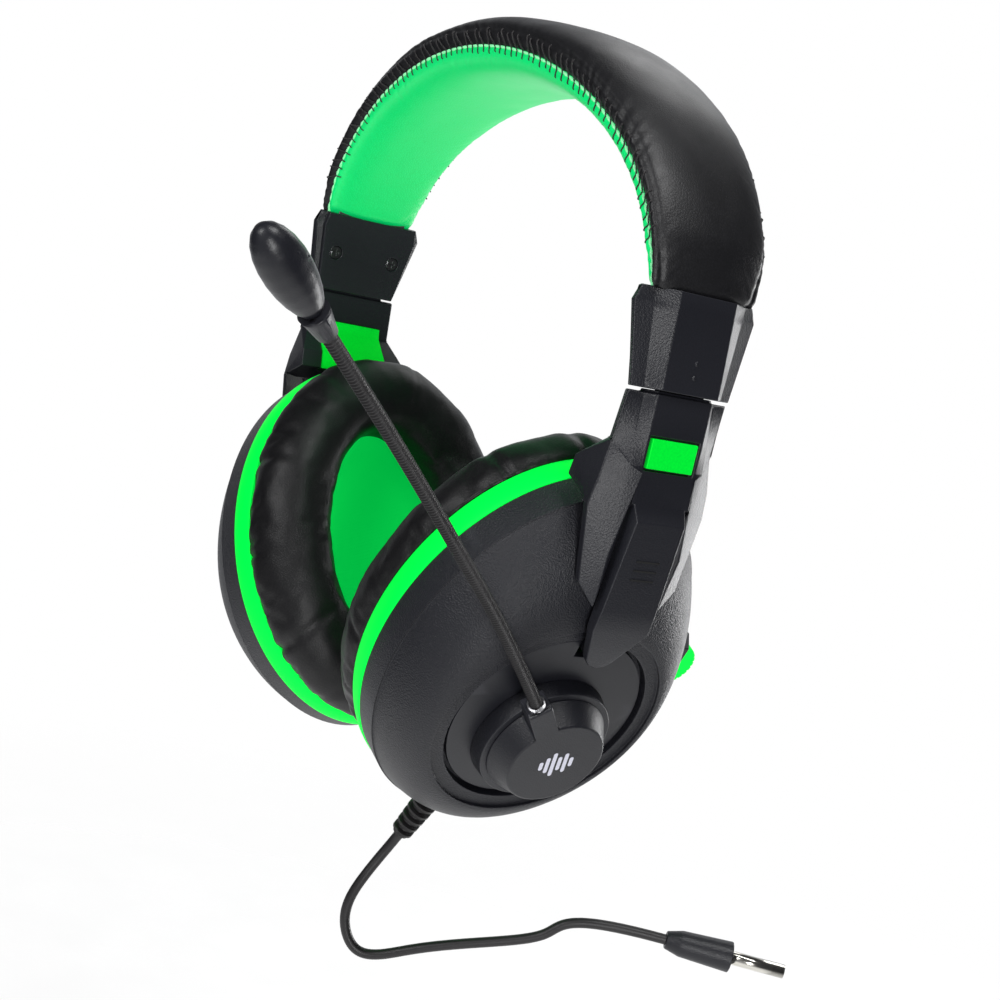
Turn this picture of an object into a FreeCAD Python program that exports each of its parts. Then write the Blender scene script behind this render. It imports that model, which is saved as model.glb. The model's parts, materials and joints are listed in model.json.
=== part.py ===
import FreeCAD, Part
import math
import os
from itertools import combinations

# Gaming headset, millimetres. +X is the wearer's left, -Y the wearer's front, +Z up.
# Shapes are worked out from the point midway between the centres of the two ear cups.
# They are saved with the origin at the middle of the headband's underside, where it
# rests on the head. The left side is built and the right side mirrors it in X = 0.

V = FreeCAD.Vector

# Ear cup, in its own frame: x outwards along the cup's axis, y to the rear, z up the cup
CUP_X = 41.5            # centre of each cup from the mid plane
CUP_TILT = 25.5         # the cups' lower ends lean inwards by this angle, degrees
RING_Y = 38.6           # half width of the cup
RING_Z = 50.0           # half height of the cup
RING_T = 6.8            # thickness of the coloured trim ring
RING_IN_Y = 34.0
RING_IN_Z = 45.4
RIM_X = 8.0             # where the straight rim ends and the dome begins
RIM_Y = 38.2            # half width and half height of the rim there
RIM_Z = 49.4
RIM_STEP = 0.3          # small step in from the rim to the foot of the dome
DOME_ARC = (30, 84)     # part of a quarter round that shapes the dome, degrees
DOME_X = 23.0           # top of the dome
RECESS_R = 29.6         # round edge at the top of the dome
RECESS_Z = -6.0         # height of the recess's centre
WALL = 2.0
FLOOR_X = 19.4          # floor of the well that holds the face plate
WELL_R = 25.5
PLATE_R = 24.5
PLATE_X = 21.9          # crown of the face plate
PLATE_BALL_R = 375.0    # radius of its shallow dome
CUSHION_FRONT = -21.8
CUSHION_BACK = -7.0

# Pivot between the arm and the cup, axis along Y, cup frame
PIVOT_X = 16.3
PIVOT_Z = 18.0
PIN_R = 1.0
PIN_HALF = 4.9
KNUCKLE_R = 2.6
KNUCKLE_HALF = 2.7
WEB_HALF = 2.4
EYE_HALF = 2.6          # half size of the shell's eyes, which hold the pin under the face plate
RUN = 0.05              # radial clearance of running fits

# Microphone hub, cup frame
HUB_Z = -10.0
HUB_TOP = 26.0
HUB_R = 17.0            # foot of the hub's fixed base
HUB_TOP_R = 16.3
HUB_FOOT_X = 20.6       # below the face plate's crown, so that the base meets it all round
KNOB_FOOT_R = 14.9
KNOB_TOP_R = 11.9
KNOB_EDGE = 0.3         # bevel round the knob's face
KNOB_TOP = 32.0
SHAFT_R = 4.9
BOOM_X = 29.4           # the boom lies in the plane x = BOOM_X at the hub
NECK_R = 1.5

# Volume wheel, cup frame, axis along x
WHEEL_Y = 38.6
WHEEL_Z = 4.2
WHEEL_R = 6.2
WHEEL_X = (8.7, 11.3)
POT_BACK = 40.0

# Arm frame: u outwards, y to the rear, w up the arm, origin inside the cap
ARM_ORIGIN = V(75.0, 0, 77.0)
LEAN = 5.0              # the arms' lower ends stand outwards by this angle, degrees
CAP_TOP = 10.8
CAP_KINK = 7.4
CAP_BOTTOM = -10.6
ARM_TOP = -11.4
LIP_RISE = 0.65         # height of the step on top of the arm
SLIDER_U = (0.9, 2.1)
SLIDER_HALF = 6.5
SLIDER_REACH = 32.0     # length of the slider above the arm
SLIDER_ROOT = 9.0       # length held in the arm
CAP_SCREW_Y = 9.3

# Headband: its mid layer is an ellipse in the XZ plane
BAND_A = 76.6
BAND_H = 52.8
BAND_Z = 82.5
BAND_STEPS = 16
BAND_GAP = 0.05         # between the mid layer and each of the two padded layers
PAD_CROWN = 6.4         # thickness of the inner pad at the crown
COVER_CROWN = 9.5       # thickness of the outer cover at the crown
ORIGIN = V(0, 0, BAND_Z + BAND_H - BAND_GAP - PAD_CROWN)

# 3.5 mm audio plug
PLUG_R = 1.75
PLUG_LENGTH = 14.0
PLUG_ROOT_R = 1.2       # root of the pin inside the plug's body


# ---------- general shapes ----------

def block(x0, x1, y0, y1, z0, z1):
    return Part.makeBox(x1 - x0, y1 - y0, z1 - z0, V(x0, y0, z0))


def rod(axis, radius, start, end, across, up):
    """Cylinder along the x or y axis between two coordinates."""
    if axis == "x":
        return Part.makeCylinder(radius, end - start, V(start, across, up), V(1, 0, 0))
    return Part.makeCylinder(radius, end - start, V(across, start, up), V(0, 1, 0))


def tube_x(outer, inner, x0, x1, y=0.0, z=0.0):
    return rod("x", outer, x0, x1, y, z).cut(rod("x", inner, x0 - 1, x1 + 1, y, z))


def oval(x, half_y, half_z, z=0.0):
    """Upright ellipse in the plane at x."""
    centre = V(x, 0, z)
    top = V(x, 0, z + max(half_z, half_y + 0.001))
    return Part.Wire(Part.Ellipse(top, V(x, half_y, z), centre).toShape())


def oval_loft(sections):
    return Part.makeLoft([oval(*section) for section in sections], True, False)


def oval_plate(x0, x1, half_y, half_z):
    return oval_loft([(x0, half_y, half_z), (x1, half_y, half_z)])


def polygon(points):
    return Part.makePolygon(list(points) + [points[0]])


def prism(points, direction):
    return Part.Face(polygon(points)).extrude(direction)


def ruled_stack(sections):
    return Part.makeLoft([polygon(points) for points in sections], True, True)


def hull(points):
    """Convex solid with flat faces around the given points."""
    faces = []
    found = set()
    for i, j, k in combinations(range(len(points)), 3):
        normal = (points[j] - points[i]).cross(points[k] - points[i])
        if normal.Length < 1e-6:
            continue
        normal.normalize()
        heights = [(point - points[i]).dot(normal) for point in points]
        if max(heights) > 1e-4 and min(heights) < -1e-4:
            continue
        flat = frozenset(n for n, height in enumerate(heights) if abs(height) <= 1e-4)
        if flat in found:
            continue
        found.add(flat)
        corners = [points[n] for n in flat]
        centre = sum(corners, V()) * (1.0 / len(corners))
        side = (corners[0] - centre).normalize()
        other = normal.cross(side)
        corners.sort(key=lambda p: math.atan2((p - centre).dot(other), (p - centre).dot(side)))
        faces.append(Part.Face(polygon(corners)))
    solid = Part.makeSolid(Part.makeShell(faces))
    if solid.Volume < 0:
        solid.reverse()
    return solid


def revolve_x(profile, y=0.0, z=0.0):
    """Solid of revolution about the x direction from (x, radius) corners."""
    face = Part.Face(polygon([V(x, y, z + radius) for x, radius in profile]))
    return face.revolve(V(0, y, z), V(1, 0, 0), 360)


def fuse(shapes):
    return shapes[0].multiFuse(shapes[1:]).removeSplitter()


def swept_rod(points, radius, tangents=None, lead=0.0, tail=0.0):
    """Round rod along a smooth curve through the points, with straight lengths at its ends."""
    curve = Part.BSplineCurve()
    if tangents:
        curve.interpolate(points, InitialTangent=tangents[0], FinalTangent=tangents[1])
    else:
        curve.interpolate(points)
    first = points[0]
    start = curve.tangent(curve.FirstParameter)[0]
    end = curve.tangent(curve.LastParameter)[0]
    edges = [curve.toShape()]
    if lead:
        first = points[0] - start * lead
        edges.insert(0, Part.makeLine(first, points[0]))
    if tail:
        edges.append(Part.makeLine(points[-1], points[-1] + end * tail))
    ring = Part.Wire(Part.Circle(first, start, radius).toShape())
    return Part.Wire(edges).makePipeShell([ring], True, False)


# ---------- frames ----------

CUP_PLACE = FreeCAD.Placement(V(CUP_X, 0, 0), FreeCAD.Rotation(V(0, 1, 0), CUP_TILT))
ARM_PLACE = FreeCAD.Placement(ARM_ORIGIN, FreeCAD.Rotation(V(0, 1, 0), -LEAN))


def from_cup(x, y, z):
    return CUP_PLACE.multVec(V(x, y, z))


def from_arm(u, y, w):
    return ARM_PLACE.multVec(V(u, y, w))


def placed(shape, placement):
    moved = shape.copy()
    moved.Placement = placement.multiply(moved.Placement)
    return moved


def save(name, shape):
    moved = shape.copy()
    moved.translate(ORIGIN * -1)
    moved.exportStep(os.path.join("parts", name + ".step"))


def save_pair(name, shape):
    """Save the left piece and its mirror image on the right."""
    save("left_" + name, shape)
    save("right_" + name, shape.mirror(V(0, 0, 0), V(1, 0, 0)))


# ---------- headband ----------

def band_point(angle, offset=0.0):
    """Point of the mid layer at an angle from the crown, moved outwards by offset."""
    normal = V(math.sin(angle) / BAND_A, 0, math.cos(angle) / BAND_H).normalize()
    on_layer = V(BAND_A * math.sin(angle), 0, BAND_Z + BAND_H * math.cos(angle))
    return on_layer + normal * offset


def band_angles(end_degrees, steps=BAND_STEPS):
    end = math.radians(end_degrees)
    return [-end + 2 * end * n / steps for n in range(steps + 1)]


def end_taper(angle):
    """Rises from 0 to 1 over the last stretch before a cap."""
    step = min(1.0, max(0.0, (abs(math.degrees(angle)) - 72.0) / 12.0))
    return step * step * (3 - 2 * step)


def band_half_width(angle):
    return 14.0 + 5.0 * math.cos(angle) ** 2 - 0.8 * end_taper(angle)


def cover_height(angle):
    return COVER_CROWN - 4.3 * math.sin(angle) ** 2 - 2.0 * end_taper(angle)


def pad_height(angle):
    return PAD_CROWN - 2.4 * math.sin(angle) ** 2 - 0.8 * end_taper(angle)


def band_section(angle, height, side):
    """D-shaped section: flat on the mid layer and crowned on one side."""
    inner = band_point(angle, side * BAND_GAP)
    outwards = (band_point(angle, 1.0) - band_point(angle)) * side
    half = band_half_width(angle)
    crown = []
    for n in range(9):
        turn = math.pi * n / 8
        across = -half * math.copysign(abs(math.cos(turn)) ** 0.8, math.cos(turn))
        crown.append(inner + V(0, across, 0) + outwards * (height * math.sin(turn) ** 0.6))
    curve = Part.BSplineCurve()
    curve.interpolate(crown)
    return Part.Wire([curve.toShape(), Part.LineSegment(crown[-1], crown[0]).toShape()])


def band_layer(low, high, y0, y1, end_degrees):
    """Strip that follows the band between two offsets from the mid layer."""
    angles = band_angles(end_degrees, 24)
    lower = Part.BSplineCurve()
    lower.interpolate([band_point(angle, low) for angle in angles])
    upper = Part.BSplineCurve()
    upper.interpolate([band_point(angle, high) for angle in reversed(angles)])
    first = Part.LineSegment(lower.value(lower.LastParameter), upper.value(upper.FirstParameter))
    last = Part.LineSegment(upper.value(upper.LastParameter), lower.value(lower.FirstParameter))
    wire = Part.Wire([lower.toShape(), first.toShape(), upper.toShape(), last.toShape()])
    strip = Part.Face(wire).extrude(V(0, y1 - y0, 0))
    strip.translate(V(0, y0, 0))
    return strip


def both_arms(shape):
    """The same shape placed on the left arm frame and mirrored to the right."""
    left = placed(shape, ARM_PLACE)
    return [left, left.mirror(V(0, 0, 0), V(1, 0, 0))]


STRIP_LAYER = (-2.1, -1.5)
STRIP_HALF = 10.0
WIRE_Y = 9.2
WIRE_LAYER = 1.3
WIRE_R = 0.7


def headband_cover():
    sections = [band_section(angle, cover_height(angle), 1) for angle in band_angles(87.5)]
    body = Part.makeLoft(sections, True, False)
    room = both_arms(block(0.6, 2.6, -SLIDER_HALF - 0.4, SLIDER_HALF + 0.4, 5.0, 24.0))
    below_caps = both_arms(block(-20, 20, -25, 25, -20, CAP_TOP + 0.2))
    channel = band_layer(0.0, 2.2, WIRE_Y - 0.9, WIRE_Y + 0.9, 87.0)
    return body.cut(channel).cut(Part.makeCompound(room + below_caps))


def headband_pad():
    sections = [band_section(angle, pad_height(angle), -1) for angle in band_angles(87.5)]
    body = Part.makeLoft(sections, True, False)
    below_caps = both_arms(block(-20, 20, -25, 25, -20, CAP_TOP + 0.2))
    room = band_layer(-2.25, 0.0, -STRIP_HALF - 0.3, STRIP_HALF + 0.3, 87.0)
    tab_room = both_arms(block(-0.5, 2.6, -11.1, 11.1, 8.0, 13.0))
    return body.cut(room).cut(Part.makeCompound(tab_room + below_caps))


def spring_strip():
    """Sprung steel strip with a straight screwed tab in each cap."""
    arch = band_layer(STRIP_LAYER[0], STRIP_LAYER[1], -STRIP_HALF, STRIP_HALF, 83.0)
    tab = block(-0.2, 0.4, -10.8, 10.8, -3.0, 12.2)
    for side in (-1, 1):
        tab = tab.cut(rod("x", 1.2, -2, 2, side * CAP_SCREW_Y, 0))
    return fuse([arch] + both_arms(tab))


def crossover_wire():
    angles = band_angles(81.0, 12)
    centre = [band_point(angle, WIRE_LAYER) + V(0, WIRE_Y, 0) for angle in angles]
    return swept_rod(centre, WIRE_R)


# ---------- caps at the ends of the headband ----------

def mirrored_polygon(half, w):
    """Closed polygon across the arm from (u, y) corners of its rear half."""
    rear = [V(u, y, w) for u, y in half]
    front = [V(u, -y, w) for u, y in reversed(half)]
    return rear + front


def cap_outer():
    top = [(-0.3, 14.2), (1.0, 15.6), (1.9, 15.8), (2.95, 12.8), (5.7, 7.8)]
    kink = [(-0.3, 15.0), (0.3, 16.8), (1.9, 17.1), (2.95, 12.6), (5.7, 7.8)]
    bottom = [(-0.3, 12.2), (0.3, 13.2), (1.9, 13.9), (2.6, 10.9), (5.3, 7.9)]
    levels = ((top, CAP_TOP), (kink, CAP_KINK), (bottom, CAP_BOTTOM))
    body = ruled_stack([mirrored_polygon(half, w) for half, w in levels])
    slider_slot = block(0.65, 2.35, -SLIDER_HALF - 0.2, SLIDER_HALF + 0.2, -12, 12)
    tab_slot = block(-0.4, 0.6, -11.0, 11.0, -3.3, 12)
    wire_slot = block(0.4, 3.3, WIRE_Y - 0.9, WIRE_Y + 0.9, 6.0, 12)
    spring_slot = block(2.3, 4.3, -4.0, 4.0, -3.0, 5.0)
    body = body.cut(slider_slot).cut(tab_slot).cut(wire_slot).cut(spring_slot)
    for side in (-1, 1):
        body = body.cut(rod("x", 1.02, -1, 2.8, side * CAP_SCREW_Y, 0))
    return body


def cap_inner():
    corners = [V(-0.35, 14.1, CAP_TOP), V(-0.35, 14.8, CAP_KINK), V(-0.35, 12.1, CAP_BOTTOM)]
    outline = corners + [V(p.x, -p.y, p.z) for p in reversed(corners)]
    plate = prism(outline, V(-1.2, 0, 0))
    for side in (-1, 1):
        y = side * CAP_SCREW_Y
        plate = plate.cut(rod("x", 1.15, -2, 0, y, 0))
        plate = plate.cut(rod("x", 1.95, -2, -0.85, y, 0))
    return plate


def cap_screws():
    screws = []
    for side in (-1, 1):
        y = side * CAP_SCREW_Y
        shank = rod("x", 1.0, -0.9, 2.6, y, 0)
        head = rod("x", 1.75, -1.3, -0.87, y, 0)
        cross = block(-1.4, -1.08, y - 1.0, y + 1.0, -0.22, 0.22)
        cross = cross.fuse(block(-1.4, -1.08, y - 0.22, y + 0.22, -1.0, 1.0))
        screws.append(shank.fuse(head).cut(cross))
    return Part.makeCompound(screws)


def detent_spring():
    """Bent leaf that clicks into the slider's notches."""
    upper = [V(4.2, -3.5, -2.6), V(2.75, -3.5, 0.6), V(2.75, -3.5, 1.4), V(4.2, -3.5, 4.6)]
    lower = [V(3.9, -3.5, 4.6), V(2.45, -3.5, 1.5), V(2.45, -3.5, 0.5), V(3.9, -3.5, -2.6)]
    return prism(upper + lower, V(0, 7.0, 0))


# ---------- arms ----------

def world_pair(x, y, z):
    return [V(x, y, z), V(x, -y, z)]


def arm_section(inner, side, bevel, flat, place):
    """Ring of corners, given as (x, y) of the rear half, turned into points by place."""
    half = [inner, side, bevel, flat]
    rear = [place(x, y) for x, y in half]
    front = [place(x, -y) for x, y in reversed(half)]
    return rear + front


def arm_column():
    """Straight upper part of the arm, from under the cap to the shoulders."""
    top = arm_section((-0.7, 13.2), (1.2, 14.0), (1.7, 9.7), (4.0, 7.6),
                      lambda u, y: from_arm(u, y, ARM_TOP))
    low = arm_section((73.2, 13.2), (75.9, 14.0), (79.3, 10.3), (80.1, 7.7),
                      lambda x, y: V(x, y, 50.2))
    return ruled_stack([top, low])


def arm_lip():
    """Low step on top of the arm that closes most of the gap under the cap."""
    half = [(-0.2, 9.6), (1.2, 9.6), (3.3, 7.2)]
    rear = [from_arm(u, y, ARM_TOP - 0.2) for u, y in half]
    front = [from_arm(u, -y, ARM_TOP - 0.2) for u, y in reversed(half)]
    rise = from_arm(0, 0, LIP_RISE + 0.2) - from_arm(0, 0, 0)
    return prism(rear + front, rise)


def arm_shoulders():
    """Saddle that spreads over the top of the cup."""
    points = world_pair(76.0, 14.0, 54.5) + world_pair(73.6, 13.3, 54.5)
    points += world_pair(67.5, 16.3, 49.0) + world_pair(66.5, 16.3, 44.4)
    points += world_pair(79.3, 10.3, 50.2) + world_pair(80.1, 7.7, 50.2)
    points += world_pair(80.2, 7.5, 41.8) + world_pair(79.9, 8.3, 41.8)
    points += world_pair(76.5, 15.6, 45.5) + world_pair(76.0, 16.4, 39.8)
    return hull(points)


def arm_wing():
    """One blade that hugs the dome beside the tongue."""
    outer = [V(79.3, 10.3, 50.2), V(79.9, 8.3, 42.0), V(79.2, 10.0, 30.0)]
    outer += [V(77.0, 8.9, 17.2), V(75.9, 13.7, 22.4), V(76.0, 16.4, 39.8)]
    depth = CUP_PLACE.Rotation.multVec(V(-1.8, 0, 0))
    return hull(outer + [point + depth for point in outer])


def cup_pair(x, y, z):
    return [from_cup(x, y, z), from_cup(x, -y, z)]


def arm_tongue():
    """Long central blade down to the pivot, in two convex lengths."""
    bend = cup_pair(26.1, 7.6, 31.8) + cup_pair(22.7, 7.6, 31.8)
    upper = world_pair(80.2, 7.2, 41.8) + world_pair(77.2, 7.2, 42.6)
    upper += world_pair(82.1, 6.8, 38.3) + world_pair(78.4, 6.8, 38.3)
    lower = cup_pair(27.3, 7.8, 26.6) + cup_pair(24.4, 7.8, 26.6)
    for n in range(7):
        turn = math.pi * (1.0 + n / 6.0)
        y = 4.4 * math.cos(turn)
        z = 19.3 + 4.4 * math.sin(turn)
        lower += [from_cup(26.3, y, z), from_cup(24.5, y, z)]
    return hull(upper + bend).fuse(hull(bend + lower))


def arm_knuckle():
    """Eye on the inner side of the tongue, with the web that carries it."""
    eye = rod("y", KNUCKLE_R, -KNUCKLE_HALF, KNUCKLE_HALF, PIVOT_X, PIVOT_Z)
    web = block(PIVOT_X, 25.0, -WEB_HALF, WEB_HALF, PIVOT_Z - 1.8, PIVOT_Z + 1.8)
    hole = rod("y", PIN_R + RUN, -5, 5, PIVOT_X, PIVOT_Z)
    return placed(eye.fuse(web).cut(hole), CUP_PLACE)


def liner_shape(gap):
    """Panel on the arm's inner side. gap grows it, to cut its seat in the arm."""
    face = [(74.4, 57.6), (73.5, 54.7), (67.4, 49.2), (66.4, 44.5)]
    outline = [V(x - 0.5, 0, z) for x, z in face]
    outline += [V(x + 1.1 + gap, 0, z) for x, z in reversed(face)]
    half = 10.0 + gap
    panel = prism([V(p.x, -half, p.z) for p in outline], V(0, 2 * half, 0))
    if gap:
        lower = block(60, 68.6, -half, half, 40, 45)
        panel = panel.fuse(lower)
    return panel


def insert_shape(gap):
    return block(79.1 - gap / 10, 80.35, -6.4 - gap, 6.4 + gap, 49.8 - gap, 56.4 + gap)


def yoke():
    wing = arm_wing()
    other_wing = wing.mirror(V(0, 0, 0), V(0, 1, 0))
    body = fuse([arm_column(), arm_lip(), arm_shoulders(), wing, other_wing, arm_tongue(),
                 arm_knuckle()])
    root = block(SLIDER_U[0] - 0.03, SLIDER_U[1] + 0.03, -SLIDER_HALF - 0.03,
                 SLIDER_HALF + 0.03, ARM_TOP - SLIDER_ROOT - 0.1, ARM_TOP + 1)
    body = body.cut(placed(root, ARM_PLACE))
    insert_seat = insert_shape(0.5).fuse(block(80.0, 82, -6.9, 6.9, 49.3, 56.9))
    return body.cut(insert_seat).cut(liner_shape(0.05))


def slider_strip():
    top = ARM_TOP + SLIDER_REACH
    strip = block(SLIDER_U[0], SLIDER_U[1], -SLIDER_HALF, SLIDER_HALF, ARM_TOP - SLIDER_ROOT, top)
    for n in range(6):
        notch = top - 4.0 - 4.0 * n
        strip = strip.cut(rod("y", 0.35, -4, 4, SLIDER_U[1] + 0.1, notch))
    return strip


# ---------- ear cups ----------

def dome_sections(last_x, inset):
    """Ovals that turn into the recess circle, from the rim to the top of the dome."""
    first, last = (math.radians(degrees) for degrees in DOME_ARC)
    foot_y = RIM_Y - RIM_STEP
    foot_z = RIM_Z - RIM_STEP
    sections = []
    for n in range(7):
        turn = first + (last - first) * n / 6
        rise = (math.sin(turn) - math.sin(first)) / (math.sin(last) - math.sin(first))
        blend = (math.cos(first) - math.cos(turn)) / (math.cos(first) - math.cos(last))
        half_y = foot_y + (RECESS_R - foot_y) * blend - inset
        half_z = foot_z + (RECESS_R - foot_z) * blend - inset
        sections.append((RIM_X + (last_x - RIM_X) * rise, half_y, half_z, RECESS_Z * blend))
    return sections


def cup_solid(last_x, inset, first_x):
    rim = oval_loft([(first_x, RING_Y - 0.2 - inset, RING_Z - 0.3 - inset),
                     (RIM_X, RIM_Y - inset, RIM_Z - inset)])
    return rim.fuse(oval_loft(dome_sections(last_x, inset)))


SCREW_SPOTS = [(y, z) for y in (-21.0, 21.0) for z in (-30.0, 30.0)]


def cup_shell_common():
    outer = cup_solid(DOME_X, 0.0, 0.05)
    shell = outer.cut(cup_solid(FLOOR_X - WALL, WALL, -1.0))
    bosses = [rod("x", 3.0, 0.4, DOME_X, y, z).common(outer) for y, z in SCREW_SPOTS]
    eyes = block(PIVOT_X - EYE_HALF, FLOOR_X - WALL / 2, -PIN_HALF, PIN_HALF,
                 PIVOT_Z - EYE_HALF, PIVOT_Z + EYE_HALF)
    recess = rod("x", 28.8, 22.1, 30, 0, RECESS_Z)
    well = rod("x", WELL_R, FLOOR_X, 30, 0, RECESS_Z)
    shell = fuse([shell] + bosses).cut(recess).cut(well)
    shell = fuse([shell, eyes])
    shell = shell.cut(block(13, 30, -3.0, 3.0, PIVOT_Z - 5.4, PIVOT_Z + 3.2))
    shell = shell.cut(rod("y", PIN_R + 0.01, -PIN_HALF - 1, PIN_HALF + 1, PIVOT_X, PIVOT_Z))
    shell = shell.cut(rod("x", 6.0, 10, 30, 0, HUB_Z))
    pilots = [rod("x", 1.12, -1, 8, y, z) for y, z in SCREW_SPOTS]
    return shell.cut(Part.makeCompound(pilots))


def face_ball(radius):
    return Part.makeSphere(radius, V(PLATE_X - PLATE_BALL_R, 0, RECESS_Z))


def face_plate():
    disc = rod("x", PLATE_R, FLOOR_X + 0.03, 24, 0, RECESS_Z).common(face_ball(PLATE_BALL_R))
    slot = block(10, 30, -WEB_HALF - 0.3, WEB_HALF + 0.3, PIVOT_Z - 4.3, PIVOT_Z + 2.1)
    return disc.cut(slot).cut(rod("x", SHAFT_R + 0.3, 10, 30, 0, HUB_Z))


def pivot_pin():
    return rod("y", PIN_R, -PIN_HALF, PIN_HALF, PIVOT_X, PIVOT_Z)


def trim_ring():
    outer = oval_loft([(-RING_T, RING_Y - 1.0, RING_Z - 1.0), (-0.6, RING_Y, RING_Z),
                       (0.0, RING_Y - 0.1, RING_Z - 0.1)])
    return outer.cut(oval_plate(-RING_T - 1, 1, RING_IN_Y, RING_IN_Z))


def baffle():
    plate = oval_plate(-5.0, -3.2, RING_IN_Y - 0.1, RING_IN_Z - 0.1)
    plate = plate.cut(rod("x", 17.5, -6, 0, 0, 0))
    holes = [rod("x", 1.3, -6, 0, y, z) for y, z in SCREW_SPOTS]
    return plate.cut(Part.makeCompound(holes))


def cup_screws():
    screws = []
    for y, z in SCREW_SPOTS:
        shank = rod("x", 1.1, -5.05, 7.0, y, z)
        screws.append(shank.fuse(rod("x", 2.2, -6.3, -5.02, y, z)))
    return Part.makeCompound(screws)


def driver_frame():
    profile = [(-3.15, 17.6), (-3.15, 20.0), (0.0, 20.0), (0.0, 18.4), (4.6, 9.6),
               (4.6, 4.0), (3.8, 4.0), (3.8, 8.8), (-0.8, 17.6)]
    return revolve_x(profile)


def driver_magnet():
    return tube_x(8.6, 1.6, 4.65, 9.2)


def driver_diaphragm():
    profile = [(-2.6, 17.5), (-2.3, 17.5), (-1.0, 8.0), (-2.4, 0.0), (-2.7, 0.0), (-1.4, 8.0)]
    return revolve_x(profile)


def ear_mesh():
    return oval_plate(-6.0, -5.2, 19.0, 30.5)


def ear_cushion():
    """Plain oval cushion with its ear opening; its seat is narrower than its middle."""
    outer = oval_loft([(CUSHION_BACK, 35.0, 46.4), (CUSHION_BACK - 5, 36.6, 48.0),
                       (CUSHION_BACK - 11, 34.6, 46.0), (CUSHION_FRONT, 28.0, 39.4)])
    return outer.cut(oval_loft([(CUSHION_BACK + 1, 17.0, 28.0), (CUSHION_FRONT - 1, 18.5, 29.5)]))


# ---------- hub, volume control and cable on the left cup ----------

def hub_base():
    profile = [(HUB_FOOT_X, SHAFT_R + RUN), (HUB_TOP, SHAFT_R + RUN), (HUB_TOP, HUB_TOP_R),
               (HUB_FOOT_X, HUB_R)]
    return revolve_x(profile, 0, HUB_Z).cut(face_ball(PLATE_BALL_R + 0.02))


def knob_body(shaft_end):
    base = HUB_TOP + 0.1
    profile = [(shaft_end, 0), (shaft_end, SHAFT_R), (base, SHAFT_R), (base, KNOB_FOOT_R),
               (KNOB_TOP - KNOB_EDGE, KNOB_TOP_R + KNOB_EDGE), (KNOB_TOP, KNOB_TOP_R), (KNOB_TOP, 0)]
    return revolve_x(profile, 0, HUB_Z)


def blank_hub():
    """Fixed hub of the right cup, one moulding with its collar."""
    profile = [(HUB_FOOT_X, 0), (HUB_FOOT_X, HUB_R), (HUB_TOP, HUB_TOP_R), (HUB_TOP, 0)]
    collar = revolve_x(profile, 0, HUB_Z).cut(face_ball(PLATE_BALL_R + 0.02))
    return fuse([collar, knob_body(20.0)])


BOOM_START = math.radians(50.8)


def boom_point(reach, degrees, x=BOOM_X):
    """Point of the boom at a distance and direction from the hub's axis."""
    turn = math.radians(degrees)
    return V(x, -reach * math.cos(turn), HUB_Z + reach * math.sin(turn))


BOOM_CURVE = [(18.5, 50.8, BOOM_X), (51.5, 47.9, 29.1), (78.6, 46.1, 28.8),
              (109.0, 45.0, 28.4), (141.0, 44.1, 28.0)]


def mic_knob():
    body = knob_body(15.4)
    collar = block(HUB_TOP + 0.3, KNOB_TOP, -2.9, 2.9, 8.0, 20.5)
    edge = rod("y", 1.2, -2.9, 2.9, KNOB_TOP - 1.2, 19.3)
    corner = block(KNOB_TOP - 1.2, KNOB_TOP, -2.9, 2.9, 19.3, 20.5)
    collar = collar.cut(corner).fuse(edge)
    collar.rotate(V(0, 0, 0), V(1, 0, 0), 90 - math.degrees(BOOM_START))
    collar.translate(V(0, 0, HUB_Z))
    bore = Part.makeCylinder(2.1, 4.0, boom_point(17.5, 50.8),
                             V(0, -math.cos(BOOM_START), math.sin(BOOM_START)))
    groove = tube_x(SHAFT_R + 1, 4.15, 16.1, 17.1, 0, HUB_Z)
    wire_way = rod("x", 2.0, 10, 24, 0, HUB_Z)
    return fuse([body, collar]).cut(bore).cut(groove).cut(wire_way)


def mic_retainer():
    """Ring clip that holds the knob's shaft in the cup."""
    return tube_x(7.4, 4.2, 16.2, 17.0, 0, HUB_Z)


def mic_socket():
    direction = V(0, -math.cos(BOOM_START), math.sin(BOOM_START))
    ring = Part.makeCylinder(2.05, 3.4, boom_point(17.7, 50.8), direction)
    return ring.cut(Part.makeCylinder(NECK_R + 0.03, 8, boom_point(15.0, 50.8), direction))


def gooseneck():
    points = [boom_point(*spot) for spot in BOOM_CURVE]
    start = V(0, -math.cos(BOOM_START), math.sin(BOOM_START))
    points[0] += start * 3.5
    return swept_rod(points, NECK_R, (start, mic_direction()), 3.7, 5.0)


def mic_direction():
    last = [boom_point(*spot) for spot in BOOM_CURVE[-2:]]
    return (last[1] - last[0]).normalize()


def along_mic(profile):
    """Solid of revolution about the microphone's axis from (distance, radius) corners."""
    face = Part.Face(polygon([V(radius, 0, distance) for distance, radius in profile]))
    solid = face.revolve(V(0, 0, 0), V(0, 0, 1), 360)
    turn = FreeCAD.Rotation(V(0, 0, 1), mic_direction())
    return placed(solid, FreeCAD.Placement(boom_point(*BOOM_CURVE[-1]), turn))


def mic_sleeve():
    return along_mic([(0.0, NECK_R + 0.03), (0.0, 1.95), (5.8, 3.0), (5.8, NECK_R + 0.03)])


def egg_radius(distance, length, widest):
    """Egg outline: narrow at the sleeve and round at the far end."""
    share = distance / length
    return widest * math.sqrt(max(0.0, 1 - (2 * share - 1) ** 2)) * (0.86 + 0.22 * share)


MIC_LENGTH = 21.5
MIC_START = 4.6
MIC_WIDEST = 4.6


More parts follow.
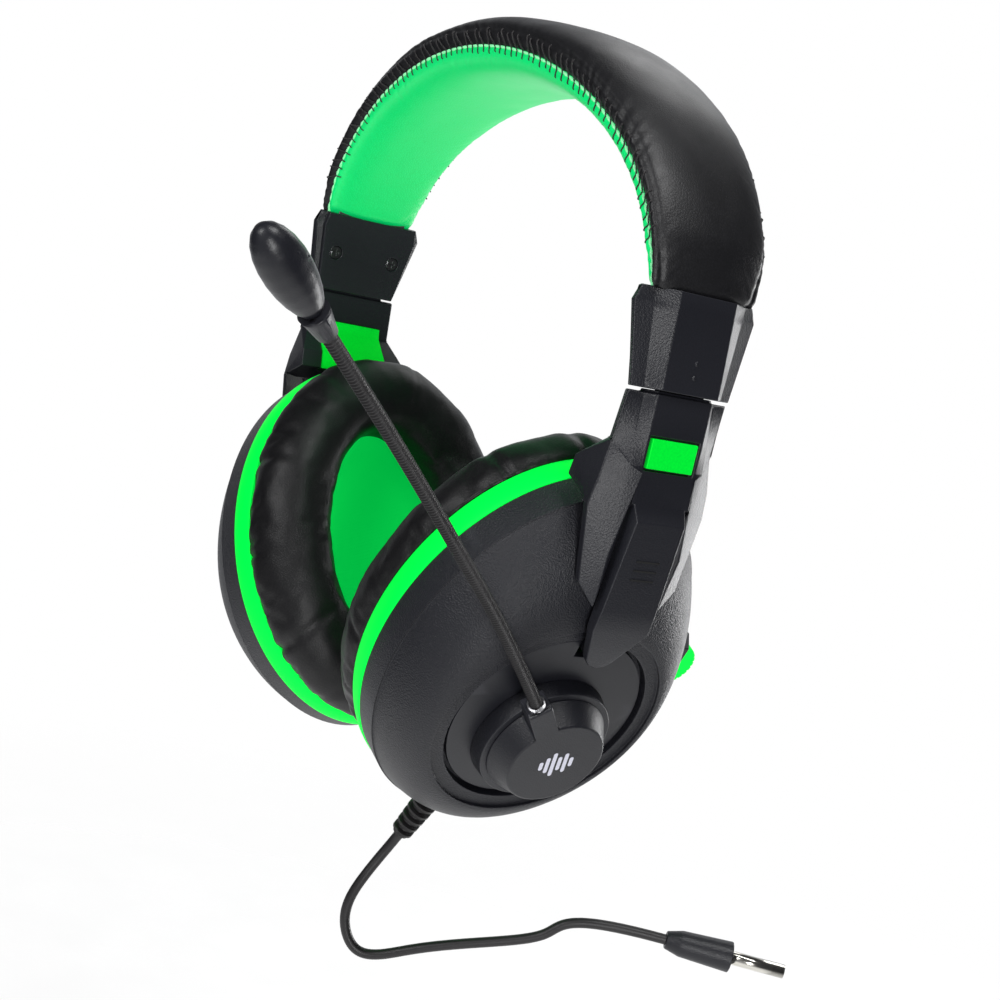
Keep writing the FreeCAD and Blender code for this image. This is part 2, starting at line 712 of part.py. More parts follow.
def egg(inset):
    profile = [(5.9 + inset, 0.0)]
    for n in range(13):
        distance = MIC_LENGTH * (0.5 - 0.5 * math.cos(math.pi * n / 12))
        place = MIC_START + distance
        if place > 5.9 + inset and n < 12:
            profile.append((place, egg_radius(distance, MIC_LENGTH, MIC_WIDEST) - inset))
    first = egg_radius(1.3 + inset, MIC_LENGTH, MIC_WIDEST) - inset
    profile.insert(1, (5.9 + inset, first))
    profile.append((MIC_START + MIC_LENGTH - inset, 0.0))
    return along_mic(profile)


def mic_capsule():
    holes = []
    for turn, place in ((90, 15.5), (68, 17.2), (112, 17.2)):
        radius = 7.0
        spin = math.radians(turn)
        hole = Part.makeCylinder(0.4, radius, V(0, 0, place), V(math.cos(spin), math.sin(spin), 0))
        rotation = FreeCAD.Rotation(V(0, 0, 1), mic_direction())
        holes.append(placed(hole, FreeCAD.Placement(boom_point(*BOOM_CURVE[-1]), rotation)))
    return egg(0.0).cut(egg(1.1)).cut(Part.makeCompound(holes))


def mic_element():
    return along_mic([(13.6, 0.0), (13.6, 3.0), (16.3, 3.0), (16.3, 0.0)])


BEZEL_X = (2.6, 13.8)
BEZEL_Y = (33.5, 37.6, 41.2, 40.6)     # inner side, outer corner, ridge, corner by the ring
BEZEL_Z = (-7.5, 12.0)


def bezel_block(gap):
    """Low housing whose back slopes with the dome. gap grows it, to cut its seat in the shell."""
    x0, x1 = BEZEL_X[0] - gap, BEZEL_X[1] + gap
    inner, corner, ridge, low = BEZEL_Y
    outline = [(x0, inner - gap), (x1, inner - gap), (x1, corner + gap),
               (WHEEL_X[0] - 0.7, ridge + gap), (x0, low + gap)]
    height = BEZEL_Z[1] - BEZEL_Z[0] + 2 * gap
    return prism([V(x, y, BEZEL_Z[0] - gap) for x, y in outline], V(0, 0, height))


def volume_bezel():
    """Housing of the volume wheel, let into the rear of the shell."""
    body = bezel_block(0.0)
    back = BEZEL_Y[2]
    low = BEZEL_Z[0]
    slope = [V(0, back - 1.6, low - 1), V(0, back + 1, low - 1), V(0, back + 1, low + 4)]
    body = body.cut(prism(slope, V(20, 0, 0)))
    reach = WHEEL_R + 0.4
    body = body.cut(rod("x", reach, WHEEL_X[0] - 0.3, WHEEL_X[1] + 0.3, WHEEL_Y, WHEEL_Z))
    pot_room = block(3.4, WHEEL_X[0] - 0.2, 32.5, POT_BACK + 0.1, WHEEL_Z - 4, WHEEL_Z + 4)
    return body.cut(pot_room)


def volume_pot():
    base = block(3.5, WHEEL_X[0] - 0.4, 31.0, POT_BACK, WHEEL_Z - 3.9, WHEEL_Z + 3.9)
    return base.fuse(rod("x", 1.45, WHEEL_X[0] - 0.5, WHEEL_X[1] + 0.2, WHEEL_Y, WHEEL_Z))


def volume_wheel():
    wheel = tube_x(WHEEL_R, 1.5, WHEEL_X[0], WHEEL_X[1], WHEEL_Y, WHEEL_Z)
    cuts = []
    for n in range(24):
        turn = 2 * math.pi * n / 24
        y = WHEEL_Y + WHEEL_R * math.cos(turn)
        z = WHEEL_Z + WHEEL_R * math.sin(turn)
        cuts.append(rod("x", 0.28, WHEEL_X[0] - 1, WHEEL_X[1] + 1, y, z))
    return wheel.cut(Part.makeCompound(cuts))


RELIEF_START = V(5.0, -2.2, -45.2)
RELIEF_AXIS = V(0, -0.17, -0.985).normalize()
RELIEF_LENGTH = 19.0
CABLE_R = 1.3


def strain_relief():
    """Ribbed sleeve with a flange inside the shell."""
    body = Part.makeCone(2.7, 2.1, RELIEF_LENGTH, RELIEF_START, RELIEF_AXIS)
    flange = Part.makeCylinder(FLANGE_R, 1.2, RELIEF_START, RELIEF_AXIS)
    ribs = []
    for n in range(RELIEF_RIBS):
        place = RELIEF_START + RELIEF_AXIS * (RIB_FIRST + RIB_PITCH * n)
        ribs.append(Part.makeCylinder(3.3 - 0.12 * n, RIB_WIDTH, place, RELIEF_AXIS))
    bore = Part.makeCylinder(CABLE_R + 0.04, 40, RELIEF_START - RELIEF_AXIS * 5, RELIEF_AXIS)
    return fuse([body, flange] + ribs).cut(bore)


HANG = V(0.571, 0.821, 0).normalize()      # the cable hangs in the upright plane along HANG
HANG_START = V(18.5, -5.6, 0)
FLANGE_R = 3.75          # holds the sleeve inside the shell without touching its wall
RELIEF_RIBS = 5
RIB_PITCH = 2.4
RIB_FIRST = 7.2         # from the strain relief's foot to its first rib
RIB_WIDTH = 1.2


def hang_point(along, z):
    """Point of the hanging cable, in the upright plane through the strain relief."""
    return HANG_START + HANG * along + V(0, 0, z)


PLUG_START = hang_point(72.0, -71.6)
PLUG_AXIS = (HANG + V(0, 0, -0.04)).normalize()
PLUG_BODY = 17.0


def cable():
    leave = CUP_PLACE.multVec(RELIEF_START + RELIEF_AXIS * (RELIEF_LENGTH + 1))
    down = CUP_PLACE.Rotation.multVec(RELIEF_AXIS)
    loop = [leave, hang_point(-6.6, -74.0), hang_point(-8.6, -86.0), hang_point(-4.5, -92.6)]
    loop += [hang_point(9.0, -89.8), hang_point(41.4, -77.7), PLUG_START]
    return swept_rod(loop, CABLE_R, (down, PLUG_AXIS), RELIEF_LENGTH + 4, 5.0)


def plug_body():
    profile = [(0.0, 0.0), (0.0, 2.2), (4.0, 3.3), (PLUG_BODY, 3.9), (PLUG_BODY, 0.0)]
    face = Part.Face(polygon([V(radius, 0, place) for place, radius in profile]))
    solid = face.revolve(V(0, 0, 0), V(0, 0, 1), 360)
    body = placed(solid, FreeCAD.Placement(PLUG_START, FreeCAD.Rotation(V(0, 0, 1), PLUG_AXIS)))
    cable_hole = Part.makeCylinder(CABLE_R + 0.02, 6.0, PLUG_START - PLUG_AXIS, PLUG_AXIS)
    root = PLUG_START + PLUG_AXIS * (PLUG_BODY - 5)
    return body.cut(cable_hole).cut(Part.makeCylinder(PLUG_ROOT_R + 0.01, 6, root, PLUG_AXIS))


def plug_pin():
    root = Part.makeCylinder(PLUG_ROOT_R, 5.0, PLUG_START + PLUG_AXIS * (PLUG_BODY - 4.9), PLUG_AXIS)
    pin = Part.makeCylinder(PLUG_R, PLUG_LENGTH, PLUG_START + PLUG_AXIS * PLUG_BODY, PLUG_AXIS)
    return pin.fuse(root)


# ---------- write every piece ----------

def save_headband():
    save("headband_cover", headband_cover())
    save("headband_pad", headband_pad())
    save("headband_spring_strip", spring_strip())
    save("crossover_wire", crossover_wire())
    save_pair("cap_outer", placed(cap_outer(), ARM_PLACE))
    save_pair("cap_inner", placed(cap_inner(), ARM_PLACE))
    save_pair("cap_screws", placed(cap_screws(), ARM_PLACE))
    save_pair("detent_spring", placed(detent_spring(), ARM_PLACE))


def save_arms():
    save_pair("yoke", yoke())
    save_pair("yoke_liner", liner_shape(0.0).common(block(60, 90, -20, 20, 44.5, 57.5)))
    save_pair("yoke_insert", insert_shape(0.0))
    save_pair("slider_strip", placed(slider_strip(), ARM_PLACE))


def save_cups():
    shell = cup_shell_common()
    relief_hole = Part.makeCylinder(2.85, 12, RELIEF_START, RELIEF_AXIS)
    left_shell = shell.cut(bezel_block(0.1)).cut(relief_hole)
    save("left_cup_shell", placed(left_shell, CUP_PLACE))
    save("right_cup_shell", placed(shell, CUP_PLACE).mirror(V(0, 0, 0), V(1, 0, 0)))
    pieces = {"face_plate": face_plate, "pivot_pin": pivot_pin, "trim_ring": trim_ring,
              "baffle": baffle, "driver_frame": driver_frame, "driver_magnet": driver_magnet,
              "driver_diaphragm": driver_diaphragm, "ear_mesh": ear_mesh,
              "ear_cushion": ear_cushion, "cup_screws": cup_screws}
    for name, make in pieces.items():
        save_pair(name, placed(make(), CUP_PLACE))


def save_cup_fittings():
    pieces = {"hub_base": hub_base, "volume_bezel": volume_bezel, "volume_pot": volume_pot,
              "volume_wheel": volume_wheel, "strain_relief": strain_relief,
              "mic_knob": mic_knob, "mic_retainer": mic_retainer, "mic_socket": mic_socket,
              "gooseneck": gooseneck, "mic_sleeve": mic_sleeve, "mic_capsule": mic_capsule,
              "mic_element": mic_element}
    for name, make in pieces.items():
        save(name, placed(make(), CUP_PLACE))
    save("blank_hub", placed(blank_hub(), CUP_PLACE).mirror(V(0, 0, 0), V(1, 0, 0)))
    save("cable", cable())
    save("plug_body", plug_body())
    save("plug_pin", plug_pin())


os.makedirs("parts", exist_ok=True)
save_headband()
save_arms()
save_cups()
save_cup_fittings()
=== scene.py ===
import json
import math
import random

import bmesh
import bpy
import numpy as np
from mathutils import Matrix, Vector, noise


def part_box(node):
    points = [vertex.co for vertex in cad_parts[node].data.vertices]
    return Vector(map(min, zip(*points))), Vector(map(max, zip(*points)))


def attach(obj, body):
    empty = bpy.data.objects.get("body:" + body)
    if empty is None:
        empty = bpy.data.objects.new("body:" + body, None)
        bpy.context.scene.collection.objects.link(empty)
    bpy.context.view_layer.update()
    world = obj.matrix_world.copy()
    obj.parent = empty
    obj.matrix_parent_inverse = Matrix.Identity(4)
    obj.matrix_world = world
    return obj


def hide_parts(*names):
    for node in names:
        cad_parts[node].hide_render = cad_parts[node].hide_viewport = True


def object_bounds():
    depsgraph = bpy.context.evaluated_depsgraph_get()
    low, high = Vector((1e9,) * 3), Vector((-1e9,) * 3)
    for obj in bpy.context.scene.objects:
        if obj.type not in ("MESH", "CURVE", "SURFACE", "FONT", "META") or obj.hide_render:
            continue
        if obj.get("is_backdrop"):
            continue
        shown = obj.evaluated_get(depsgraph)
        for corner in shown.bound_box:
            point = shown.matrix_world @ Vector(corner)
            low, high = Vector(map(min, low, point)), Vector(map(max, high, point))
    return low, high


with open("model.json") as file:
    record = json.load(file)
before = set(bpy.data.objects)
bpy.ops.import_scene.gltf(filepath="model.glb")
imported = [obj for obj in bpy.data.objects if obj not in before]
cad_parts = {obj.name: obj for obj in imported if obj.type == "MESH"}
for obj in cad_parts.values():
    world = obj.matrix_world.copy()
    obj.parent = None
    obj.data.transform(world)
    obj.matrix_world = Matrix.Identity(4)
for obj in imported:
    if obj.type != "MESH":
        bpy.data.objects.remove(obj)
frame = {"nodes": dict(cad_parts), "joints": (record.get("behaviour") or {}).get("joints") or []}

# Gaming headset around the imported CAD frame. Shapes are worked out in millimetres
# and turned into metres when a mesh is made. +X is the wearer's left, -Y the front.

MM = 0.001
CAD_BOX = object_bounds()
NODES = frame["nodes"]
JOINTS = {joint["name"]: joint for joint in frame["joints"]}
MIRROR = Matrix.Diagonal((-1, 1, 1, 1))


# ---------- frames ----------

def cup_frame():
    """Left cup's frame in metres: x outwards, y to the rear, z up the cup, origin at its centre."""
    hub = JOINTS["mic_swing"]
    out = Vector(hub["axis"]).normalized()
    rear = Vector((0, 1, 0))
    up = out.cross(rear)
    centre = Vector(hub["pos_m"]) - up * (HUB_Z * MM)
    return Matrix.LocRotScale(centre, Matrix((out, rear, up)).transposed().to_quaternion(), None)


HUB_Z = -10.0
CUP = cup_frame()
SIDES = {"left": CUP, "right": MIRROR @ CUP}


# ---------- mesh helpers ----------

def face_outwards(mesh):
    """Winds the faces of a mesh of closed shapes so that they all face outwards."""
    work = bmesh.new()
    work.from_mesh(mesh)
    bmesh.ops.recalc_face_normals(work, faces=work.faces[:])
    work.to_mesh(mesh)
    work.free()


def make_piece(name, body, points, faces, material, place=None, replaces=()):
    """Mesh object from points in millimetres, riding on a body."""
    place = place or Matrix.Identity(4)
    mesh = bpy.data.meshes.new(name)
    mesh.from_pydata([place @ (Vector(point) * MM) for point in points], [], faces)
    face_outwards(mesh)
    mesh.polygons.foreach_set("use_smooth", [True] * len(mesh.polygons))
    mesh.materials.append(material)
    piece = bpy.data.objects.new(name, mesh)
    bpy.context.scene.collection.objects.link(piece)
    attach(piece, body)
    if replaces:
        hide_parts(*replaces)
    return piece


def grid_faces(rows, columns, wrap_rows=False, wrap_columns=False):
    """Quads of a grid of points stored row by row."""
    faces = []
    for i in range(rows if wrap_rows else rows - 1):
        for j in range(columns if wrap_columns else columns - 1):
            k = (i + 1) % rows
            m = (j + 1) % columns
            faces.append((i * columns + j, k * columns + j, k * columns + m, i * columns + m))
    return faces


def grid_normals(points, wrap_rows=False, wrap_columns=False):
    """Unit normals of a grid of points given as an array of rows, columns, 3."""
    def slope(axis, wrap):
        if wrap:
            return np.roll(points, -1, axis) - np.roll(points, 1, axis)
        return np.gradient(points, axis=axis)
    normal = np.cross(slope(0, wrap_rows), slope(1, wrap_columns))
    return normal / np.maximum(np.linalg.norm(normal, axis=2, keepdims=True), 1e-9)


def end_faces(rows, columns):
    """The two faces that close a tube stored ring by ring."""
    last = (rows - 1) * columns
    return [tuple(range(columns)), tuple(range(last, last + columns))]


def frames_along(path, start):
    """Each point of a path with two directions across it, which don't twist along the way."""
    slope = np.gradient(path, axis=0)
    slope /= np.linalg.norm(slope, axis=1, keepdims=True)
    side = np.cross(slope[0], start)
    for spot, along in zip(path, slope):
        side = side - along * np.dot(side, along)
        side /= np.linalg.norm(side)
        yield spot, side, np.cross(along, side)


def tube_mesh(path, radius, sides):
    """Points and faces of a round closed tube along a path."""
    points = []
    for spot, side, other in frames_along(np.array(path), (0.31, 0.53, 0.79)):
        for n in range(sides):
            turn = 2 * math.pi * n / sides
            points.append(spot + radius * (math.cos(turn) * side + math.sin(turn) * other))
    return points, grid_faces(len(path), sides, wrap_columns=True) + end_faces(len(path), sides)


def join_meshes(parts):
    """One list of points and faces from several."""
    points = []
    faces = []
    for part_points, part_faces in parts:
        shift = len(points)
        points += list(part_points)
        faces += [tuple(index + shift for index in face) for face in part_faces]
    return points, faces


def curve_between(a, b, c, d, steps):
    """Points of a Catmull-Rom curve from b up to c, with a before them and d after."""
    span = []
    for n in range(steps):
        t = n / steps
        span.append(0.5 * (2 * b + (c - a) * t + (2 * a - 5 * b + 4 * c - d) * t ** 2
                           + (3 * b - a - 3 * c + d) * t ** 3))
    return span


def smooth_path(points, steps):
    """Open curve through the points, with the given steps between neighbours."""
    knots = [np.array(point, float) for point in points]
    knots = [2 * knots[0] - knots[1]] + knots + [2 * knots[-1] - knots[-2]]
    path = []
    for a, b, c, d in zip(knots, knots[1:], knots[2:], knots[3:]):
        path += curve_between(a, b, c, d, steps)
    path.append(knots[-2])
    return path


# ---------- materials ----------

def shader(name, **values):
    """New material, its node adder and its principled shader."""
    material = bpy.data.materials.new(name)
    material.use_nodes = True
    tree = material.node_tree
    principled = tree.nodes["Principled BSDF"]
    for key, value in values.items():
        principled.inputs[key.replace("_", " ")].default_value = value

    def add(kind, links=(), settings=(), **inputs):
        item = tree.nodes.new("ShaderNode" + kind)
        for key, value in dict(settings).items():
            setattr(item, key, value)
        for key, value in inputs.items():
            item.inputs[key.replace("_", " ")].default_value = value
        for key, source in dict(links).items():
            tree.links.new(source, item.inputs[key])
        return item

    def link(source, target):
        tree.links.new(source, principled.inputs[target])

    return material, add, link


def own_place(add):
    """Coordinates in metres that stay with the moving piece."""
    return add("TexCoord").outputs["Object"]


def ramp(add, source, stops):
    """Colour ramp with (position, grey or colour) stops."""
    item = add("ValToRGB", {"Fac": source})
    elements = item.color_ramp.elements
    while len(elements) < len(stops):
        elements.new(0.5)
    for element, (spot, value) in zip(elements, stops):
        element.position = spot
        element.color = value if isinstance(value, tuple) else (value, value, value, 1)
    return item.outputs["Color"]


def blend_colours(add, mask, first, second):
    """Colour that goes from the first to the second as the mask goes from 0 to 1."""
    mix = add("Mix", {0: mask}, {"data_type": "RGBA"})
    mix.inputs[6].default_value = first
    mix.inputs[7].default_value = second
    return mix.outputs[2]


def spread(add, source, middle, below, above):
    """Maps a 0..1 value onto the range from below to above a middle value."""
    item = add("MapRange", {"Value": source}, To_Min=middle - below, To_Max=middle + above)
    return item.outputs["Result"]


def edge_wear(add, colour, worn):
    """Colour that turns towards a worn one on convex edges."""
    pointed = add("NewGeometry").outputs["Pointiness"]
    return blend_colours(add, ramp(add, pointed, [(0.52, 0.0), (0.60, 0.8)]), colour, worn)


def scaled(colour, gain, lift):
    """Colour made lighter or darker."""
    return tuple(min(1.0, c * gain + lift) for c in colour[:3]) + (1.0,)


def rgb(red, green, blue):
    return (red, green, blue, 1.0)


def moulded_plastic(name, colour, roughness, grain=0.25, grain_mm=0.35, patches=0.1, worn=None,
                    specular=0.42, painted_glow=0.0):
    """Injection-moulded plastic with a spark-eroded grain and slightly brighter worn edges. A glow above
    0 makes it emit its own colour: painted light that keeps it bright in shade.
    """
    material, add, link = shader(name, Specular_IOR_Level=specular, Emission_Color=colour,
                                 Emission_Strength=painted_glow)
    where = own_place(add)
    cloud = add("TexNoise", {"Vector": where}, Scale=60.0, Detail=3.0)
    fine = add("TexNoise", {"Vector": where}, Scale=1000.0 / grain_mm, Detail=2.0, Roughness=0.6)
    cells = add("TexVoronoi", {"Vector": where}, Scale=700.0 / grain_mm)
    height = add("Math", {0: fine.outputs["Fac"], 1: cells.outputs["Distance"]},
                 {"operation": "ADD"})
    bump = add("Bump", {"Height": height.outputs[0]}, Strength=grain, Distance=0.0002)
    link(bump.outputs["Normal"], "Normal")
    link(spread(add, cloud.outputs["Fac"], roughness, patches / 2, patches / 2), "Roughness")
    level = spread(add, fine.outputs["Fac"], 1.0, 0.15, 0.15)
    base = edge_wear(add, colour, worn or scaled(colour, 1.6, 0.01))
    tint = add("HueSaturation", {"Color": base, "Value": level})
    link(tint.outputs["Color"], "Base Color")
    return material


def leatherette(name, colour, shadow, roughness, coat=0.15, painted_glow=0.0, specular=0.5):
    """Coated fabric: pebbled grain, fine creases and a soft sheen. A glow above 0 makes it emit its own
    colour: painted light that keeps it bright in shade.
    """
    material, add, link = shader(name, Coat_Weight=coat, Coat_Roughness=0.35,
                                 Specular_IOR_Level=specular, Emission_Color=colour,
                                 Emission_Strength=painted_glow)
    where = own_place(add)
    warp = add("TexNoise", {"Vector": where}, Scale=300.0, Detail=2.0)
    nudge = add("VectorMath", {0: warp.outputs["Color"]}, {"operation": "SCALE"}, Scale=0.0006)
    shifted = add("VectorMath", {0: where, 1: nudge.outputs[0]}, {"operation": "ADD"})
    pebble = add("TexVoronoi", {"Vector": shifted.outputs[0]},
                 {"feature": "DISTANCE_TO_EDGE"}, Scale=1500.0)
    dents = ramp(add, pebble.outputs["Distance"], [(0.0, 0.0), (0.22, 1.0)])
    folds = add("TexNoise", {"Vector": where}, Scale=140.0, Detail=6.0, Roughness=0.6)
    height = add("Math", {0: dents, 1: folds.outputs["Fac"]}, {"operation": "MULTIPLY"})
    bump = add("Bump", {"Height": height.outputs[0]}, Strength=0.22, Distance=0.0002)
    broad = add("TexNoise", {"Vector": where}, Scale=45.0, Detail=4.0)
    soft = add("Bump", {"Height": broad.outputs["Fac"], "Normal": bump.outputs["Normal"]},
               Strength=0.12, Distance=0.0015)
    link(soft.outputs["Normal"], "Normal")
    link(blend_colours(add, dents, shadow, colour), "Base Color")
    link(spread(add, folds.outputs["Fac"], roughness, 0.06, 0.08), "Roughness")
    return material


def knitted_fabric(name, colour, shadow, painted_glow):
    """Fine knit: rows of small holes between bright threads. A glow above 0 makes it emit its own colour:
    painted light that keeps it bright in shade.
    """
    material, add, link = shader(name, Specular_IOR_Level=0.2, Roughness=0.8,
                                 Emission_Color=colour, Emission_Strength=painted_glow)
    where = own_place(add)
    rows = add("TexWave", {"Vector": where}, {"bands_direction": "Y"}, Scale=880.0,
               Distortion=0.6, Detail=1.0)
    columns = add("TexWave", {"Vector": where}, {"bands_direction": "Z"}, Scale=880.0,
                  Distortion=0.6, Detail=1.0)
    weave = add("Math", {0: rows.outputs["Fac"], 1: columns.outputs["Fac"]},
                {"operation": "MULTIPLY"})
    bump = add("Bump", {"Height": weave.outputs[0]}, Strength=0.4, Distance=0.0003)
    link(bump.outputs["Normal"], "Normal")
    mask = ramp(add, weave.outputs[0], [(0.0, 0.0), (0.5, 1.0)])
    link(blend_colours(add, mask, shadow, colour), "Base Color")
    return material


def rubber(name, colour, roughness):
    """Smooth soft rubber with faint flow marks and dust."""
    material, add, link = shader(name)
    where = own_place(add)
    flow = add("TexNoise", {"Vector": where}, Scale=900.0, Detail=3.0)
    dust = add("TexNoise", {"Vector": where}, Scale=120.0, Detail=5.0)
    bump = add("Bump", {"Height": flow.outputs["Fac"]}, Strength=0.15, Distance=0.0001)
    link(bump.outputs["Normal"], "Normal")
    stops = [(0.35, colour), (0.75, scaled(colour, 1.5, 0.004))]
    link(ramp(add, dust.outputs["Fac"], stops), "Base Color")
    link(spread(add, dust.outputs["Fac"], roughness, 0.08, 0.08), "Roughness")
    return material


def metal(name, colour, roughness, stretch=(1, 1, 14)):
    """Plated or rolled metal with fine drawn scratches."""
    material, add, link = shader(name, Metallic=1.0)
    where = own_place(add)
    drawn = add("Mapping", {"Vector": where})
    drawn.inputs["Scale"].default_value = stretch
    lines = add("TexNoise", {"Vector": drawn.outputs[0]}, Scale=400.0, Detail=4.0)
    bump = add("Bump", {"Height": lines.outputs["Fac"]}, Strength=0.1, Distance=0.0001)
    link(bump.outputs["Normal"], "Normal")
    stops = [(0.3, scaled(colour, 0.75, 0.0)), (0.7, colour)]
    link(ramp(add, lines.outputs["Fac"], stops), "Base Color")
    link(spread(add, lines.outputs["Fac"], roughness, 0.08, 0.1), "Roughness")
    return material


def thread(name, colour):
    """Twisted sewing thread."""
    material, add, link = shader(name, Roughness=0.75, Sheen_Weight=0.2)
    where = own_place(add)
    twist = add("TexWave", {"Vector": where}, {"bands_direction": "DIAGONAL"}, Scale=900.0,
                Distortion=1.0)
    bump = add("Bump", {"Height": twist.outputs["Fac"]}, Strength=0.5, Distance=0.0001)
    link(bump.outputs["Normal"], "Normal")
    stops = [(0.2, colour), (0.9, scaled(colour, 2.0, 0.01))]
    link(ramp(add, twist.outputs["Fac"], stops), "Base Color")
    return material


BLACK = rgb(0.0115, 0.012, 0.0165)
MATERIALS = {
    "plastic": moulded_plastic("black_plastic", BLACK, 0.4, 0.22, 0.3),
    "grainy": moulded_plastic("black_plastic_grainy", BLACK, 0.44, 0.5, 0.3),
    "satin": moulded_plastic("black_plastic_satin", BLACK, 0.36, 0.06, 0.3),
    # The green plastics glow with their own colour (their last number): painted light that keeps them
    # bright and saturated in shade.
    "green": moulded_plastic("green_plastic", rgb(0.0, 0.92, 0.06), 0.5, 0.04, 0.5, 0.08,
                             rgb(0.0, 0.95, 0.08), 0.06, 0.5),
    "insert": moulded_plastic("green_insert_plastic", rgb(0.0, 0.72, 0.03), 0.45, 0.04, 0.5, 0.08,
                              rgb(0.0, 0.8, 0.04), 0.08, 0.25),
    # Near-black strips for the lines on the arm: painted shade where engraved grooves would be.
    "groove": moulded_plastic("deep_groove", rgb(0.002, 0.002, 0.002), 0.8, 0.1, 0.3),
    "inner": moulded_plastic("inner_plastic", rgb(0.03, 0.03, 0.032), 0.6, 0.2, 0.5),
    "leather": leatherette("black_leatherette", rgb(0.0075, 0.0075, 0.0095),
                           rgb(0.004, 0.004, 0.005), 0.46, 0.06),
    "cushion": leatherette("black_leatherette_soft", rgb(0.0075, 0.007, 0.008),
                           rgb(0.004, 0.004, 0.005), 0.44, 0.03, 0.0, 0.3),
    # The green pad, cut edge and knit glow with their own colour (their last number): painted light that
    # keeps them bright and saturated in shade.
    "pad": leatherette("green_leatherette", rgb(0.0, 0.82, 0.2), rgb(0.0, 0.74, 0.16), 0.4, 0.05,
                       0.25),
    "raw": leatherette("green_cut_edge", rgb(0.34, 0.95, 0.5), rgb(0.2, 0.85, 0.34), 0.8, 0.0, 0.3),
    "fabric": knitted_fabric("green_fabric", rgb(0.0, 0.7, 0.085), rgb(0.0, 0.6, 0.07), 0.55),
    "rubber": rubber("black_rubber", rgb(0.009, 0.008, 0.009), 0.45),
    "thread": thread("black_thread", rgb(0.008, 0.006, 0.007)),
    "steel": metal("spring_steel", rgb(0.5, 0.5, 0.52), 0.32),
    "black_steel": metal("black_steel", rgb(0.03, 0.03, 0.033), 0.35),
    "dark_steel": metal("screw_steel", rgb(0.2, 0.2, 0.21), 0.3),
    "nickel": metal("nickel_plate", rgb(0.78, 0.76, 0.7), 0.18),
    "film": moulded_plastic("driver_film", rgb(0.3, 0.3, 0.28), 0.3, 0.1, 0.6),
    "print": moulded_plastic("silver_print", rgb(0.55, 0.55, 0.68), 0.5, 0.1, 0.3),
}


# ---------- CAD nodes that keep their shape ----------

NODE_LOOKS = {
    "plastic": ["cap_outer", "cap_inner", "yoke", "hub_base", "blank_hub", "mic_knob",
                "volume_bezel", "plug_body"],
    "grainy": ["cup_shell"],
    "satin": ["face_plate", "mic_capsule", "mic_sleeve"],
    "green": ["trim_ring", "volume_wheel"],
    "insert": ["yoke_insert", "yoke_liner"],
    "inner": ["baffle", "driver_frame", "volume_pot"],
    "rubber": ["cable", "strain_relief", "crossover_wire"],
    "steel": ["headband_spring_strip", "detent_spring", "mic_retainer", "mic_socket"],
    "black_steel": ["slider_strip"],
    "dark_steel": ["cap_screws", "cup_screws", "pivot_pin", "driver_magnet", "mic_element"],
    "nickel": ["plug_pin"],
    "film": ["driver_diaphragm"],
}
ROUNDED = {                # radius in millimetres of the softened edges of each part
    "cap_outer": 0.22, "cap_inner": 0.2, "yoke": 0.3, "hub_base": 0.25, "blank_hub": 0.3,
    "mic_knob": 0.3, "cup_shell": 0.25, "trim_ring": 0.3, "volume_wheel": 0.15,
    "yoke_insert": 0.2, "face_plate": 0.15, "volume_bezel": 0.3, "plug_body": 0.2,
}
WELD_GAP = 0.000005        # metres
FLAT_ANGLE = math.radians(0.4)
EDGE_ANGLE = math.radians(28)


def finish_cad_nodes():
    """Material and softened edges for every CAD node that stays visible."""
    looks = {part: look for look, parts in NODE_LOOKS.items() for part in parts}
    for name, node in NODES.items():
        part = name.removeprefix("left_").removeprefix("right_")
        if part not in looks:
            continue
        node.data.materials.clear()
        node.data.materials.append(MATERIALS[looks[part]])
        node.data.polygons.foreach_set("use_smooth", [True] * len(node.data.polygons))
        weld = node.modifiers.new("weld", "WELD")
        weld.merge_threshold = WELD_GAP
        merge = node.modifiers.new("merge", "DECIMATE")
        merge.decimate_type = "DISSOLVE"
        merge.angle_limit = FLAT_ANGLE
        if part in ROUNDED:
            bevel = node.modifiers.new("bevel", "BEVEL")
            bevel.width = ROUNDED[part] * MM
            bevel.segments = 2
            bevel.limit_method = "ANGLE"
            bevel.angle_limit = EDGE_ANGLE
            bevel.use_clamp_overlap = False
        node.modifiers.new("weighted", "WEIGHTED_NORMAL")


finish_cad_nodes()


# ---------- headband ----------

BAND_HALF_SPAN = 76.6     # half span of the seam's ellipse, and its rise
BAND_RISE = 52.8
COVER_CROWN = 9.5         # thickness of the cover at the crown
BAND_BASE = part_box("headband_cover")[1].z / MM - COVER_CROWN - BAND_RISE
BAND_END = math.radians(87.5)
TAPER_START = 72.0        # degrees from the crown where the ends of the padding thin out
TAPER_SPAN = 12.0
COVER_BULGE = 5.6         # how far the skins bulge sideways past the seams
PAD_BULGE = 1.5
STITCH_PITCH = 2.55
SEAM_STRIP = 4.2          # width of the stitched strip on each side of the seam
SEAM_CROWDING = 0.105     # grid columns crowd towards the seams by this share of the section
ROW_STEP = 0.42


def band_frame(angle):
    """Point of the seam layer and its outward direction at an angle from the crown."""
    out = np.array([math.sin(angle) / BAND_HALF_SPAN, 0, math.cos(angle) / BAND_RISE])
    spot = np.array([BAND_HALF_SPAN * math.sin(angle), 0, BAND_BASE + BAND_RISE * math.cos(angle)])
    return spot, out / np.linalg.norm(out)


def band_table():
    """Angles and arc lengths along the seam, measured from the crown."""
    angles = np.linspace(-BAND_END, BAND_END, 1601)
    spots = np.array([band_frame(angle)[0] for angle in angles])
    steps = np.linalg.norm(np.diff(spots, axis=0), axis=1)
    lengths = np.concatenate([[0], np.cumsum(steps)])
    return angles, lengths - lengths[-1] / 2


